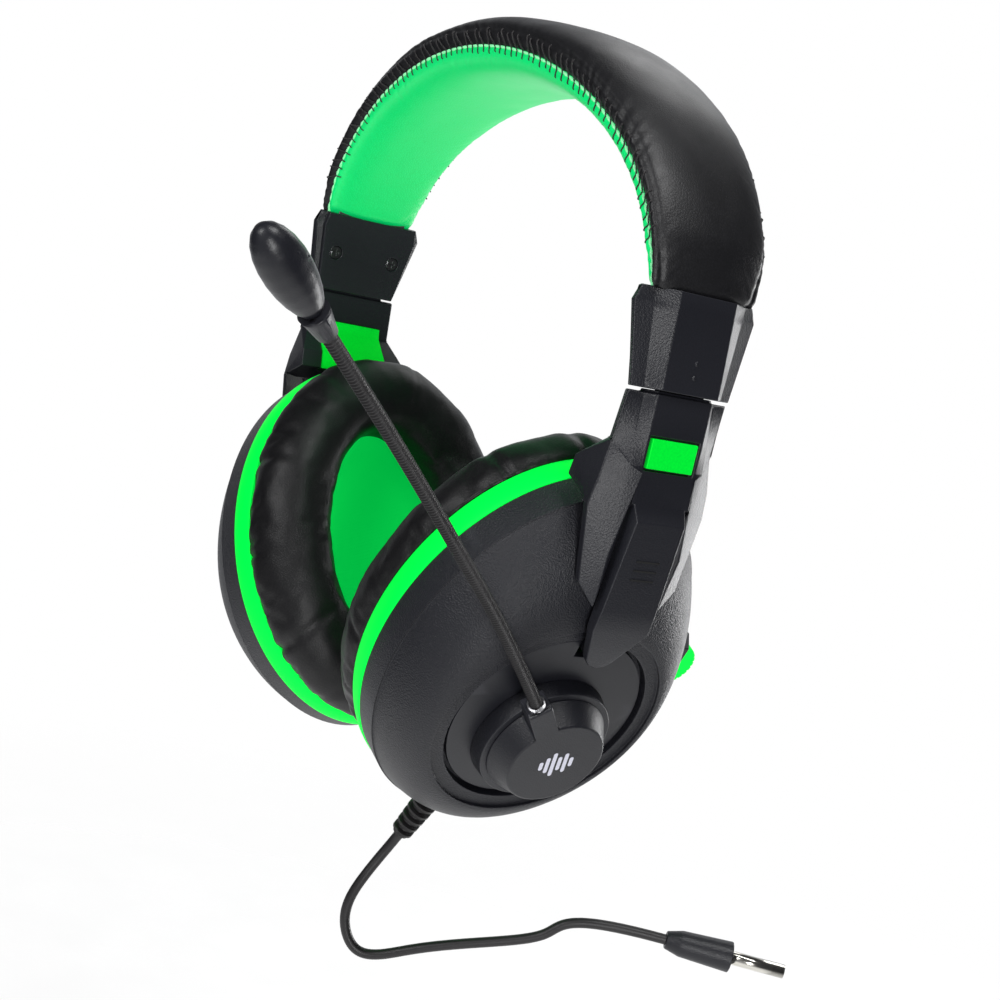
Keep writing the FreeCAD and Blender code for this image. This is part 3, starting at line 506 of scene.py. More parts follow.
BAND_ANGLES, BAND_LENGTHS = band_table()
BAND_REACH = BAND_LENGTHS[-1]


def end_taper(angle):
    """0 along the band, rising smoothly to 1 at its ends."""
    step = min(1.0, max(0.0, (abs(math.degrees(angle)) - TAPER_START) / TAPER_SPAN))
    return step * step * (3 - 2 * step)


def swell(angle, side, crown, thinning):
    """Size at an angle from the crown: its size at the side, plus more at the crown, less at the ends."""
    return side + crown * math.cos(angle) ** 2 - thinning * end_taper(angle)


def cover_height(angle):
    """Height of the cover's crown above the seam layer."""
    return swell(angle, 5.2, COVER_CROWN - 5.2, 2.0)


def pad_height(angle):
    """Depth of the pad's crown below the seam layer."""
    return swell(angle, 4.0, 2.4, 0.8)


def band_half(angle):
    """Half the width between the two seams."""
    return swell(angle, 14.0, 5.0, 0.8)


def crowned_section(angle, height, side):
    """Section curve from the front seam over the crown to the rear seam, with its lengths."""
    spot, out = band_frame(angle)
    turns = np.linspace(0, math.pi, 181)
    climb = np.sin(turns).clip(0)
    bulge = (COVER_BULGE if side > 0 else PAD_BULGE) * climb ** 0.6 * (1 - climb)
    across = -np.sign(np.cos(turns)) * (band_half(angle) * np.abs(np.cos(turns)) ** 0.8 + bulge)
    rise = side * height * climb ** 0.6
    curve = spot + np.outer(rise, out) + np.outer(across, (0, 1, 0))
    lengths = np.concatenate([[0], np.cumsum(np.linalg.norm(np.diff(curve, axis=0), axis=1))])
    return curve, lengths


def section_points(angle, height, side, reach):
    """Points at distances from the seams; reach runs 0..1 over the section."""
    curve, lengths = crowned_section(angle, height, side)
    spots = reach * lengths[-1]
    points = np.stack([np.interp(spots, lengths, curve[:, k]) for k in range(3)], axis=1)
    return points, np.minimum(spots, lengths[-1] - spots)


def band_skin_grid(height_of, side, columns):
    """Grid of the bare skin, distance from the nearest seam and arc length of each row."""
    rows = int(2 * BAND_REACH / ROW_STEP)
    lengths = np.linspace(-BAND_REACH, BAND_REACH, rows)
    angles = np.interp(lengths, BAND_LENGTHS, BAND_ANGLES)
    even = np.linspace(0, 1, columns)
    reach = even - SEAM_CROWDING * np.sin(2 * math.pi * even)
    sections = [section_points(angle, height_of(angle), side, reach) for angle in angles]
    points = np.array([section[0] for section in sections])
    edge = np.array([section[1] for section in sections])
    return points, edge, lengths


def seam_puckers(length, edge, depth, fade, seed):
    """Height of the gathers that the stitches pull into the skin, uneven along the seam."""
    phase = 2 * math.pi * (length / STITCH_PITCH)
    uneven = 0.55 + 0.9 * noise.noise(Vector((length / 3.1, seed, 4.0)))
    wander = 1.1 * noise.noise(Vector((length / 6.0, edge / 6.0, seed + 2)))
    gather = math.cos(phase + 0.7 * edge + 2.5 * wander) * depth * uneven * math.exp(-edge / fade)
    crease = noise.noise(Vector((length / 2.2 + 0.35 * edge, edge / 11.0, seed)))
    pull = -max(0.0, abs(crease) - 0.12) * depth * 3.4 * math.exp(-(edge / (fade * 2.6)) ** 2)
    return gather + pull


def soft_dents(point, size, depth, seed):
    """Height of shallow, broad unevenness of the given size."""
    return depth * noise.noise(Vector(point) / size + Vector((seed, 0, 0)))


CAP_TUCK = 1.1            # the skin is drawn in this much where it enters a cap
CAP_TUCK_REACH = 2.2
STRIP_DEPTH = 0.3         # depth and softness of the line where the stitched strip ends
STRIP_SOFTNESS = 0.7


def band_skin(name, node, material, height_of, side, columns, pucker, fade, seed):
    """Padded skin on one side of the seam layer, gathered along both stitched edges."""
    points, edge, lengths = band_skin_grid(height_of, side, columns)
    normals = grid_normals(points) * side
    rows = points.shape[0]
    lift = np.zeros(edge.shape)
    for i in range(rows):
        for j in range(columns):
            lift[i, j] = (seam_puckers(lengths[i], edge[i, j], pucker, fade, seed)
                          + soft_dents(points[i, j], 22.0, 0.5, seed) * min(1, edge[i, j] / 8)
                          + soft_dents(points[i, j], 7.0, 0.08, seed + 5))
    lift -= CAP_TUCK * (1 - height_above_caps(points) / CAP_TUCK_REACH).clip(0) ** 2
    if side > 0:
        lift -= STRIP_DEPTH * np.exp(-((edge - SEAM_STRIP) / STRIP_SOFTNESS) ** 2)
    moved = points + normals * lift[:, :, None]
    faces = grid_faces(rows, columns, wrap_columns=True) + end_faces(rows, columns)
    piece = make_piece(name, "headband", moved.reshape(-1, 3), faces, MATERIALS[material],
                       replaces=[node])
    trim_at_caps(piece)


ARM_LEAN = math.atan2(abs(JOINTS["left_height"]["axis"][0]), abs(JOINTS["left_height"]["axis"][2]))
CAP_OVERLAP = 0.6         # the skins are cut this far below the tops of the caps


def cap_top(sign):
    """A point in millimetres on the top of a cap, and the direction up out of it."""
    middle = (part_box("left_cap_inner")[0].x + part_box("left_cap_outer")[1].x) / 2
    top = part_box("left_cap_outer")[1].z
    normal = Vector((sign * -math.sin(ARM_LEAN), 0, math.cos(ARM_LEAN)))
    return Vector((sign * middle, 0, top)) / MM - Vector((0, 0, CAP_OVERLAP)), normal


def height_above_caps(points):
    """Distance of each point above the top of the cap on its own side."""
    heights = []
    for sign in (-1, 1):
        spot, normal = cap_top(sign)
        heights.append((points - np.array(spot)) @ np.array(normal))
    return np.where(points[..., 0] > 0, heights[1], heights[0]).clip(0)


def trim_at_caps(piece):
    """Cuts the piece flat where it meets the tops of the two caps."""
    work = bmesh.new()
    work.from_mesh(piece.data)
    for sign in (-1, 1):
        spot, normal = cap_top(sign)
        cut = bmesh.ops.bisect_plane(work, geom=work.verts[:] + work.edges[:] + work.faces[:],
                                     plane_co=spot * MM, plane_no=normal, clear_inner=True)
        rim = [item for item in cut["geom_cut"] if isinstance(item, bmesh.types.BMEdge)]
        bmesh.ops.contextual_create(work, geom=rim)
    work.to_mesh(piece.data)
    work.free()
    face_outwards(piece.data)


def seam_spot(length, edge, front, height_of, side):
    """Point on a bare skin and its outward direction, at a distance from the front or rear seam."""
    angle = float(np.interp(length, BAND_LENGTHS, BAND_ANGLES))
    curve, lengths = crowned_section(angle, height_of(angle), side)
    if not front:
        curve = curve[::-1]
    spot = np.array([np.interp(edge, lengths, curve[:, k]) for k in range(3)])
    ahead = np.array([np.interp(edge + 0.3, lengths, curve[:, k]) for k in range(3)])
    along = band_frame(angle + 0.01)[0] - band_frame(angle - 0.01)[0]
    out = np.cross(along, ahead - spot) * side * (1 if front else -1)
    return spot, out / np.linalg.norm(out)


PAD_LEG = ((1.0, -0.4), (0.9, 0.08), (0.6, 0.14), (0.3, 0.16))      # (share of reach, lift)
COVER_LEG = ((0.25, 0.22), (0.55, 0.2), (0.85, 0.1), (1.0, -0.4))
THREAD_R = 0.17


def whip_stitch(length, front, draw):
    """One thread from the pad, over the cut edge, down into the cover."""
    slant = draw.uniform(0.5, 1.0)
    bend = draw.uniform(0.6, 3.0)
    reach = draw.uniform(1.7, 2.6)
    path = []
    for share, lift in PAD_LEG:
        spot, out = seam_spot(length + slant * share, share * reach, front, pad_height, -1)
        path.append(spot + out * lift)
    angle = float(np.interp(length, BAND_LENGTHS, BAND_ANGLES))
    side = -1 if front else 1
    path.append(band_frame(angle)[0] + np.array([0, side * (band_half(angle) + 0.5), 0]))
    end = draw.uniform(3.0, 4.2)
    for share, lift in COVER_LEG:
        spot, out = seam_spot(length - bend * share, share * end, front, cover_height, 1)
        path.append(spot + out * lift)
    return tube_mesh(smooth_path(path, 3), THREAD_R, 6)


def raw_edge(front):
    """Cut edge of the pad's cloth showing between the stitches, scalloped by them."""
    side = -1 if front else 1
    rows = int(2 * BAND_REACH / ROW_STEP)
    points = []
    for n in range(rows):
        length = -BAND_REACH + 2 * BAND_REACH * n / (rows - 1)
        angle = float(np.interp(length, BAND_LENGTHS, BAND_ANGLES))
        spot, out = band_frame(angle)
        scallop = abs(math.sin(math.pi * length / STITCH_PITCH)) ** 0.7
        fray = 0.12 * noise.noise(Vector((length * 2.1, 3.0 * side, 0.0)))
        tip = band_half(angle) + 0.1 + 0.35 * scallop + fray
        low = -0.6 - 0.1 * scallop
        for across, rise in ((tip - 2.0, -0.1), (tip, -0.12), (tip + 0.05, -0.35), (tip - 0.15, low),
                             (tip - 2.0, low)):
            points.append(spot + out * rise + np.array([0, side * across, 0]))
    return points, grid_faces(rows, 5, wrap_columns=True) + end_faces(rows, 5)


CAPPED_SEAM = 13.0        # length of the seam left without stitches at each end


def stitch_lengths():
    """Places of the stitches along the seam; none lie inside the caps."""
    reach = BAND_REACH - CAPPED_SEAM
    count = int(2 * reach / STITCH_PITCH)
    return [(n - count / 2) * STITCH_PITCH for n in range(count + 1)]


def build_headband():
    """The two skins, the stitches and the cut edge of the pad's cloth."""
    band_skin("headband_cover_skin", "headband_cover", "leather",
              cover_height, 1, 110, 0.14, 2.6, 1.0)
    band_skin("headband_pad_skin", "headband_pad", "pad",
              pad_height, -1, 90, 0.12, 2.2, 9.0)
    draw = random.Random(5)
    threads = [whip_stitch(length + draw.uniform(-0.25, 0.25), front, draw)
               for length in stitch_lengths() for front in (True, False)]
    points, faces = join_meshes(threads)
    stitches = make_piece("headband_stitches", "headband", points, faces, MATERIALS["thread"])
    trim_at_caps(stitches)
    points, faces = join_meshes([raw_edge(True), raw_edge(False)])
    edge = make_piece("headband_cut_edge", "headband", points, faces, MATERIALS["raw"])
    trim_at_caps(edge)


# ---------- cloth simulation ----------

CLOTH_FRAMES = 20
CLOTH_QUALITY = 5
CLOTH_PRESSURE = 4.0
CLOTH_GROWTH = 0.012       # share by which the sheet is larger than the shape it starts from
CLOTH_BENDING = 0.5
CLOTH_LIMIT = 1.6          # no point moves further than this, millimetres


def settle_cloth(piece, pinned):
    """Inflates the piece as cloth held at the pinned points, and keeps the settled shape."""
    group = piece.vertex_groups.new(name="pinned")
    group.add([int(index) for index in pinned], 1.0, "REPLACE")
    cloth = piece.modifiers.new("cloth", "CLOTH")
    settings = cloth.settings
    settings.quality = CLOTH_QUALITY
    settings.vertex_group_mass = group.name
    settings.use_pressure = True
    settings.uniform_pressure_force = CLOTH_PRESSURE
    settings.shrink_min = -CLOTH_GROWTH
    settings.bending_stiffness = CLOTH_BENDING
    settings.effector_weights.gravity = 0.0
    cloth.collision_settings.use_collision = False
    cloth.point_cache.frame_end = CLOTH_FRAMES
    for step in range(1, CLOTH_FRAMES + 1):
        bpy.context.scene.frame_set(step)
    settled = piece.evaluated_get(bpy.context.evaluated_depsgraph_get())
    before = np.zeros(3 * len(piece.data.vertices))
    after = before.copy()
    piece.data.vertices.foreach_get("co", before)
    settled.data.vertices.foreach_get("co", after)
    shift = (after - before).reshape(-1, 3)
    reach = np.linalg.norm(shift, axis=1, keepdims=True)
    shift *= np.minimum(1.0, CLOTH_LIMIT * MM / np.maximum(reach, 1e-9))
    piece.modifiers.remove(cloth)
    piece.vertex_groups.clear()
    piece.data.vertices.foreach_set("co", before + shift.reshape(-1))
    piece.data.update()
    bpy.context.scene.frame_set(1)


# ---------- ear cushions ----------

CUSHION_PROFILE = [        # (x, half width, half height) of the oval at each point of the section
    (-7.2, 19.5, 30.6), (-6.95, 27.0, 38.2), (-7.0, 36.2, 47.6), (-8.6, 37.9, 49.3),
    (-12.6, 38.2, 49.6), (-17.2, 36.4, 47.8), (-20.8, 31.6, 43.0), (-22.0, 26.5, 37.6),
    (-21.0, 21.9, 33.0), (-17.8, 18.9, 30.0), (-13.0, 17.8, 28.9), (-9.0, 17.9, 29.0),
]


def closed_profile(knots, steps):
    """Closed curve through the knots."""
    knots = [np.array(knot, float) for knot in knots]
    count = len(knots)
    path = []
    for n in range(count):
        a, b, c, d = (knots[(n + k) % count] for k in (-1, 0, 1, 2))
        path += curve_between(a, b, c, d, steps)
    return path


CREASE_LIMIT = 9.0         # a gather has no effect further away than this


def make_creases(count, seed, scale, width, reach):
    """Irregular gathers round the cushion: place, depth, width, reach and bend of each."""
    draw = random.Random(seed)
    creases = []
    for n in range(count):
        place = 2 * math.pi * (n + draw.uniform(-0.45, 0.45)) / count
        creases.append((place, scale * draw.uniform(0.2, 1.0) ** 1.6, width * draw.uniform(0.6, 1.5),
                        reach * draw.uniform(0.35, 1.0), draw.uniform(-0.12, 0.12)))
    return creases


def crease_depth(turn, climb, creases):
    """Depth of the gathers at an angle round the cushion and a climb 0..1 from the seat."""
    total = 0.0
    for place, depth, width, reach, bend in creases:
        centre = place + bend * climb
        gap = (turn - centre + math.pi) % (2 * math.pi) - math.pi
        distance = gap * CREASE_GIRTH
        if abs(distance) > CREASE_LIMIT:
            continue
        fade = max(0.0, 1 - climb / reach)
        breadth = width * (0.7 + 1.2 * climb)
        total += depth * fade * (math.exp(-(distance / breadth) ** 2)
                                 - 0.45 * math.exp(-(distance / (3.2 * breadth)) ** 2))
    return total


CUSHION_ROWS = 300
PROFILE_STEPS = 4          # grid columns for each knot of the profile
SEAT_COLUMN = 9            # the columns up to this one rest on the cup
INSIDE_COLUMN = 40         # and those from this one on lie hidden inside the ring
CREASE_GIRTH = 42.0        # mean radius that turns an angle round the cushion into a distance
CREASE_DEPTH = 1.5


def build_cushion(side, seed):
    """Padded ring with gathers, inflated as cloth while its seat stays on the cup."""
    profile = np.array(closed_profile(CUSHION_PROFILE, PROFILE_STEPS))
    columns = len(profile)
    rows = CUSHION_ROWS
    creases = make_creases(26, seed, 1.0, 1.2, 1.0) + make_creases(64, seed + 50, 0.5, 0.7, 0.5)
    points = np.zeros((rows, columns, 3))
    for i in range(rows):
        turn = 2 * math.pi * i / rows
        points[i, :, 0] = profile[:, 0]
        points[i, :, 1] = profile[:, 1] * math.cos(turn)
        points[i, :, 2] = profile[:, 2] * math.sin(turn)
    normals = grid_normals(points, True, True)
    lift = np.zeros((rows, columns))
    for i in range(rows):
        turn = 2 * math.pi * i / rows
        for j in range(columns):
            knot = j / PROFILE_STEPS
            climb = (knot - 1.6) / 6.5
            soft = 0.55 * noise.noise(Vector(points[i, j]) / 10.0 + Vector((seed, 0, 0)))
            fine = 0.14 * noise.noise(Vector(points[i, j]) / 3.5 + Vector((0, seed, 0)))
            lift[i, j] = (soft + fine) * min(1.0, max(0.0, (knot - 1.4) / 1.5))
            if 0 <= climb < 1:
                ease = min(1.0, climb / 0.08)
                lift[i, j] -= CREASE_DEPTH * ease * crease_depth(turn, climb, creases)
    outward = -1 if np.dot(normals[0, 16], (0, 1, 0)) < 0 else 1
    moved = points + normals * (outward * lift[:, :, None])
    faces = grid_faces(rows, columns, True, True)
    if outward < 0:        # a face's first corner also sets the diagonal along which the cloth folds
        faces = [face[::-1] for face in faces]
    piece = make_piece(side + "_cushion_skin", side + "_cup", moved.reshape(-1, 3), faces,
                       MATERIALS["cushion"], SIDES[side], [side + "_ear_cushion"])
    seat = [j for j in range(columns) if j <= SEAT_COLUMN or j >= INSIDE_COLUMN]
    pinned = [i * columns + j for i in range(rows) for j in seat]
    settle_cloth(piece, pinned)


# ---------- ear fabric ----------

EAR_MESH_X = -6.0
EAR_MESH_HALF = (20.0, 31.5)   # half width and half height of the oval
EAR_MESH_DISH = 0.6
EAR_MESH_THICKNESS = 0.6
EAR_MESH_RINGS = 24
EAR_MESH_SPOKES = 72


def dished_sheet(shift):
    """Points of one face of the knit, ring by ring with the middle last, and its faces."""
    points = []
    for i in range(1, EAR_MESH_RINGS + 1):
        share = i / EAR_MESH_RINGS
        x = EAR_MESH_X + EAR_MESH_DISH * (1 - share ** 2) + shift
        for n in range(EAR_MESH_SPOKES):
            turn = 2 * math.pi * n / EAR_MESH_SPOKES
            points.append((x, EAR_MESH_HALF[0] * share * math.cos(turn),
                           EAR_MESH_HALF[1] * share * math.sin(turn)))
    points.append((EAR_MESH_X + EAR_MESH_DISH + shift, 0, 0))
    faces = grid_faces(EAR_MESH_RINGS, EAR_MESH_SPOKES, wrap_columns=True)
    middle = len(points) - 1
    faces += [(n, (n + 1) % EAR_MESH_SPOKES, middle) for n in range(EAR_MESH_SPOKES)]
    return points, faces


def build_ear_mesh(side):
    """Stretched knit behind the ear opening, slightly dished onto the loudspeaker."""
    sheets = [dished_sheet(0.0), dished_sheet(EAR_MESH_THICKNESS)]
    points, faces = join_meshes(sheets)
    back = len(sheets[0][0])
    rim = (EAR_MESH_RINGS - 1) * EAR_MESH_SPOKES
    for n in range(EAR_MESH_SPOKES):
        m = (n + 1) % EAR_MESH_SPOKES
        faces.append((rim + n, rim + m, back + rim + m, back + rim + n))
    make_piece(side + "_ear_fabric", side + "_cup", points, faces, MATERIALS["fabric"],
               SIDES[side], [side + "_ear_mesh"])


# ---------- microphone ----------

BOOM_CURVE = [(18.5, 50.8, 29.4), (25.0, 50.3, 29.35), (51.5, 47.9, 29.1), (78.6, 46.1, 28.8),
              (109.0, 45.0, 28.4), (141.0, 44.1, 28.0)]    # reach, degrees above the front, x
NECK_R = 1.5
NECK_PITCH = 0.78
NECK_RIDGE = 0.16          # half the height of the spiral's ridges
NECK_SIDES = 18
RINGS_PER_TURN = 8


def boom_point(reach, degrees, x):
    """Point in the left cup's frame at a reach and an angle round the hub's axis."""
    turn = math.radians(degrees)
    return np.array([x, -reach * math.cos(turn), HUB_Z + reach * math.sin(turn)])


def build_gooseneck():
    """Neck wound from a flat spiral: ridges run round it like a screw thread."""
    path = np.array(smooth_path([boom_point(*spot) for spot in BOOM_CURVE], 60))
    steps = np.linalg.norm(np.diff(path, axis=0), axis=1)
    lengths = np.concatenate([[0], np.cumsum(steps)])
    count = int(lengths[-1] / (NECK_PITCH / RINGS_PER_TURN))
    spots = np.linspace(0, lengths[-1], count)
    path = np.stack([np.interp(spots, lengths, path[:, k]) for k in range(3)], axis=1)
    points = []
    for length, (spot, side, other) in zip(spots, frames_along(path, (1.0, 0.0, 0.0))):
        for n in range(NECK_SIDES):
            turn = 2 * math.pi * n / NECK_SIDES
            wave = math.cos(2 * math.pi * (length / NECK_PITCH - n / NECK_SIDES))
            radius = NECK_R - NECK_RIDGE + NECK_RIDGE * math.copysign(abs(wave) ** 0.6, wave)
            points.append(spot + radius * (math.cos(turn) * side + math.sin(turn) * other))
    faces = grid_faces(count, NECK_SIDES, wrap_columns=True) + end_faces(count, NECK_SIDES)
    make_piece("gooseneck_coil", "mic_boom", points, faces, MATERIALS["rubber"], CUP,
               ["gooseneck"])


EMBLEM_BARS = (2.6, 5.0, 7.6, 4.4, 6.2, 3.0)     # heights of a row of sound-level bars
EMBLEM_PITCH = 1.55
EMBLEM_TURN = math.radians(14)
BAR_R = 0.5                # each bar is a flat slot shape with round ends
BAR_CORNERS = 24


def build_emblem():
    """Small printed row of sound-level bars in the middle of the microphone knob."""
    face = (CUP.inverted() @ knob_face()).x / MM
    parts = []
    for n, height in enumerate(EMBLEM_BARS):
        middle = EMBLEM_PITCH * (n - (len(EMBLEM_BARS) - 1) / 2)
        outline = []
        for k in range(BAR_CORNERS):
            turn = 2 * math.pi * (k + 0.5) / BAR_CORNERS
            bow = BAR_R * math.sin(turn) + math.copysign(height / 2 - BAR_R, math.sin(turn))
            outline.append((middle + BAR_R * math.cos(turn), bow))
        turned = [(y * math.cos(EMBLEM_TURN) - z * math.sin(EMBLEM_TURN),
                   y * math.sin(EMBLEM_TURN) + z * math.cos(EMBLEM_TURN) + HUB_Z)
                  for y, z in outline]
        points = [(face + depth, y, z) for depth in (-0.05, 0.06) for y, z in turned]
        faces = grid_faces(2, BAR_CORNERS, wrap_columns=True) + end_faces(2, BAR_CORNERS)
        parts.append((points, faces))
    points, faces = join_meshes(parts)
    piece = make_piece("hub_emblem", "mic_boom", points, faces, MATERIALS["print"], CUP)
    piece.data.polygons.foreach_set("use_smooth", [False] * len(piece.data.polygons))


def knob_face():
    """Point of the microphone knob that lies furthest out along the hub's axis."""
    out = Vector(JOINTS["mic_swing"]["axis"])
    knob = NODES["mic_knob"]
    spots = [knob.matrix_world @ vertex.co for vertex in knob.data.vertices]
    return max(spots, key=out.dot)


# ---------- moulded dots, and lines painted as the shade of engraving ---

DOT_HEIGHTS = (4.3, 7.4)                   # above the lower edge of the cap's face
DOT_R = 0.62
DOT_RINGS = 6
DOT_SIDES = 20
DOT_SINK = 0.1                             # its foot lies this far inside the face
CAP_TAPER = 0.022                          # the cap's face leans this much less than the arm
MARK_DROPS = (9.0, 11.2, 13.4)             # of the parallel lines, below the ridge
MARK_REACH = 3.2                           # half the length of each line
MARK_WIDTH = 0.34
MARK_RISE = (-0.2, 0.03)                   # foot and top of each line, from the face
BLADE_RIDGE = (82.1, 38.3)                 # x and height of the ridge where the blade's face begins
BLADE_BEND = (78.75, 17.47)                # and of the bend at its lower end


def dome_dot(spot, out, across):
    """Low round dot that stands on a face."""
    other = out.cross(across)
    height = 0.7 * DOT_R
    points = []
    for i in range(DOT_RINGS):
        climb = math.pi / 2 * i / DOT_RINGS
        for n in range(DOT_SIDES):
            turn = 2 * math.pi * n / DOT_SIDES
            ring = across * math.cos(turn) + other * math.sin(turn)
            rise = height * math.sin(climb) - DOT_SINK
            points.append(spot + ring * (DOT_R * math.cos(climb)) + out * rise)
    points.append(spot + out * (height - DOT_SINK))
    faces = grid_faces(DOT_RINGS, DOT_SIDES, wrap_columns=True) + [tuple(range(DOT_SIDES))]
    top = len(points) - 1
    last = top - DOT_SIDES
    faces += [(last + n, last + (n + 1) % DOT_SIDES, top) for n in range(DOT_SIDES)]
    return points, faces


def build_cap_dots():
    """Two raised dots that mark the left side by touch."""
    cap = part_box("left_cap_outer")
    lean = ARM_LEAN - CAP_TAPER
    up = Vector((-math.sin(lean), 0, math.cos(lean)))
    out = Vector((math.cos(lean), 0, math.sin(lean)))
    face = Vector((cap[1].x, 0, cap[0].z)) / MM
    parts = [dome_dot(face + up * height, out, Vector((0, 1, 0))) for height in DOT_HEIGHTS]
    points, faces = join_meshes(parts)
    make_piece("left_cap_dots", "headband", points, faces, MATERIALS["plastic"])


def build_blade_mark():
    """Three fine parallel strips on the blade of the left arm, sunk at their foot, painted near-black as
    the shade of engraved lines.
    """
    level = CUP.translation.z / MM
    ridge = Vector((BLADE_RIDGE[0], 0, BLADE_RIDGE[1] + level))
    bend = Vector((BLADE_BEND[0], 0, BLADE_BEND[1] + level))
    down = (bend - ridge).normalized()
    rear = Vector((0, 1, 0))
    out = rear.cross(down)
    parts = []
    for drop in MARK_DROPS:
        first, last = (ridge + rear * y + down * drop for y in (-MARK_REACH, MARK_REACH))
        along = (last - first).normalized()
        aside = along.cross(out) * MARK_WIDTH / 2
        corners = [first - aside, last - aside, last + aside, first + aside]
        points = [corner + out * rise for rise in MARK_RISE for corner in corners]
        parts.append((points, grid_faces(2, 4, wrap_columns=True) + end_faces(2, 4)))
    points, faces = join_meshes(parts)
    mark = make_piece("left_arm_mark", "left_arm", points, faces, MATERIALS["groove"])
    mark.data.polygons.foreach_set("use_smooth", [False] * len(mark.data.polygons))


# ---------- stage ----------

VIEW_AZIMUTH = math.radians(55.1)
VIEW_ELEVATION = math.radians(8.1)
VIEW_ROLL = math.radians(13.1)
VIEW_DISTANCE = 0.4303
VIEW_TARGET = Vector((0.0112, 0.0064, CUP.translation.z + 0.0269))
VIEW_LENS = 61.1
VIEW_SENSOR = 36.0
VIEW_CLIP = 0.01


def camera_axes():
    """Directions of the view, of the picture's right and of its top."""
    flat = math.cos(VIEW_ELEVATION)
    look = Vector((-flat * math.sin(VIEW_AZIMUTH), flat * math.cos(VIEW_AZIMUTH),
                   -math.sin(VIEW_ELEVATION)))
    right = look.cross(Vector((0, 0, 1))).normalized()
    up = right.cross(look)
    tilted = math.cos(VIEW_ROLL) * right + math.sin(VIEW_ROLL) * up
    return look, tilted, tilted.cross(look)


def add_camera():
    look, right, up = camera_axes()
    camera = bpy.data.objects.new("camera", bpy.data.cameras.new("camera"))
    camera.data.lens = VIEW_LENS
    camera.data.sensor_width = VIEW_SENSOR
    camera.data.clip_start = VIEW_CLIP
    turn = Matrix((right, up, -look)).transposed().to_quaternion()
    camera.matrix_world = Matrix.LocRotScale(VIEW_TARGET - look * VIEW_DISTANCE, turn, None)
    bpy.context.scene.collection.objects.link(camera)
    bpy.context.scene.camera = camera


SOFTBOXES = [               # (name, direction, distance, size in metres, power)
    ("key", (0.2, -0.9, 0.5), 1.05, (0.4, 0.4), 4.5),
    ("top", (0.45, -0.02, 0.89), 0.9, (0.3, 0.3), 3.6),
    ("crest", (-0.45, 0.57, 0.69), 0.9, (0.3, 0.3), 0.8),
    ("front_strip", (0.913, -0.366, -0.05), 0.8, (0.14, 0.35), 2.6),
    ("rear_strip", (-0.05, 0.98, -0.10), 0.8, (0.2, 0.45), 3.0),
]


def add_softbox(name, direction, distance, size, power):
    """Area light in a direction from the object, aimed at it."""
    lamp = bpy.data.lights.new(name, "AREA")
    lamp.shape = "RECTANGLE"
    lamp.size = size[0]
    lamp.size_y = size[1]
    lamp.energy = power
    softbox = bpy.data.objects.new(name, lamp)
    away = Vector(direction).normalized()
    softbox.location = VIEW_TARGET + away * distance
    softbox.rotation_euler = away.to_track_quat("Z", "Y").to_euler()
    bpy.context.scene.collection.objects.link(softbox)


ROOM_LIGHT = 0.05
ROOM_LOBES = [              # (direction, start and end of the lobe as cosines, brightness)
    ((-0.81, 0.57, -0.14), 0.5, 0.95, 0.9),
    ((0.3, -0.9, -0.3), 0.7, 1.0, 0.3),
]


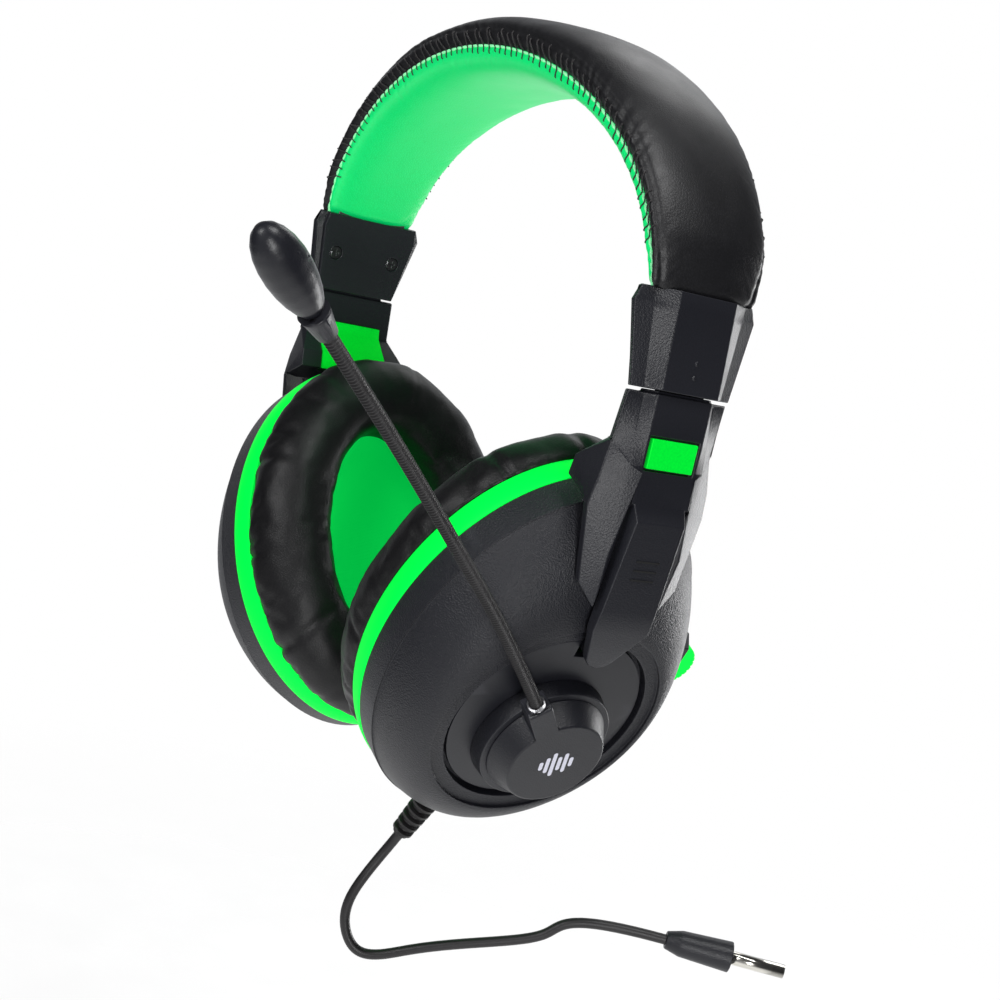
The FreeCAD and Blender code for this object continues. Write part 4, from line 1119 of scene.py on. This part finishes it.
def add_world():
    """White to the camera; to the object a dim room that is brighter behind and in front."""
    world = bpy.data.worlds.new("studio")
    world.use_nodes = True
    tree = world.node_tree
    tree.nodes.clear()
    output = tree.nodes.new("ShaderNodeOutputWorld")
    seen = tree.nodes.new("ShaderNodeBackground")
    seen.inputs["Color"].default_value = (1, 1, 1, 1)
    fill = tree.nodes.new("ShaderNodeBackground")
    fill.inputs["Color"].default_value = (0.95, 0.965, 1, 1)
    direction = tree.nodes.new("ShaderNodeTexCoord").outputs["Generated"]
    total = tree.nodes.new("ShaderNodeValue").outputs[0]
    total.default_value = ROOM_LIGHT
    for towards, start, end, gain in ROOM_LOBES:
        cosine = tree.nodes.new("ShaderNodeVectorMath")
        cosine.operation = "DOT_PRODUCT"
        cosine.inputs[1].default_value = Vector(towards).normalized()
        tree.links.new(direction, cosine.inputs[0])
        lobe = tree.nodes.new("ShaderNodeMapRange")
        lobe.interpolation_type = "SMOOTHSTEP"
        lobe.inputs["From Min"].default_value = start
        lobe.inputs["From Max"].default_value = end
        lobe.inputs["To Max"].default_value = gain
        tree.links.new(cosine.outputs["Value"], lobe.inputs["Value"])
        both = tree.nodes.new("ShaderNodeMath")
        tree.links.new(total, both.inputs[0])
        tree.links.new(lobe.outputs["Result"], both.inputs[1])
        total = both.outputs[0]
    tree.links.new(total, fill.inputs["Strength"])
    ray = tree.nodes.new("ShaderNodeLightPath")
    mix = tree.nodes.new("ShaderNodeMixShader")
    tree.links.new(ray.outputs["Is Camera Ray"], mix.inputs[0])
    tree.links.new(fill.outputs[0], mix.inputs[1])
    tree.links.new(seen.outputs[0], mix.inputs[2])
    tree.links.new(mix.outputs[0], output.inputs[0])
    bpy.context.scene.world = world


FLOOR_DROP = 0.15          # metres; clear of the microphone and cable at every pose
FLOOR_CORNERS = 96         # of a disc of 1 m radius


def add_floor():
    """Round pale floor that fades into the white surroundings."""
    material, add, link = shader("pale_floor", Roughness=0.8, Specular_IOR_Level=0.1,
                                 Emission_Color=rgb(1, 1, 1), Emission_Strength=0.8)
    spot = add("TexCoord").outputs["Object"]
    length = add("VectorMath", {0: spot}, {"operation": "LENGTH"})
    fade = ramp(add, length.outputs["Value"], [(0.25, 0.0), (0.6, 1.0)])
    speck = add("TexNoise", {"Vector": spot}, Scale=30.0)
    link(ramp(add, speck.outputs["Fac"], [(0.3, 0.3), (0.7, 0.34)]), "Base Color")
    tree = material.node_tree
    clear = add("BsdfTransparent")
    mix = add("MixShader", {0: fade, 1: tree.nodes["Principled BSDF"].outputs[0],
                            2: clear.outputs[0]})
    tree.links.new(mix.outputs[0], tree.nodes["Material Output"].inputs["Surface"])
    mesh = bpy.data.meshes.new("floor")
    turns = [2 * math.pi * n / FLOOR_CORNERS for n in range(FLOOR_CORNERS)]
    rim = [(math.cos(turn), math.sin(turn), 0) for turn in turns]
    mesh.from_pydata(rim, [], [tuple(range(FLOOR_CORNERS))])
    mesh.materials.append(material)
    floor = bpy.data.objects.new("floor", mesh)
    floor.location = (0, 0, CAD_BOX[0][2] - FLOOR_DROP)
    bpy.context.scene.collection.objects.link(floor)
    floor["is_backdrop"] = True


build_headband()
for index, side_name in enumerate(SIDES):
    build_cushion(side_name, 11 + index)
    build_ear_mesh(side_name)
build_gooseneck()
build_emblem()
build_cap_dots()
build_blade_mark()
add_camera()
add_world()
add_floor()
for softbox_settings in SOFTBOXES:
    add_softbox(*softbox_settings)
bpy.context.scene.view_settings.view_transform = "Standard"

VISUAL_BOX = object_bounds()
boxes = {"cad": CAD_BOX, "visual": VISUAL_BOX}
{name: [list(corner) for corner in box] for name, box in boxes.items()}
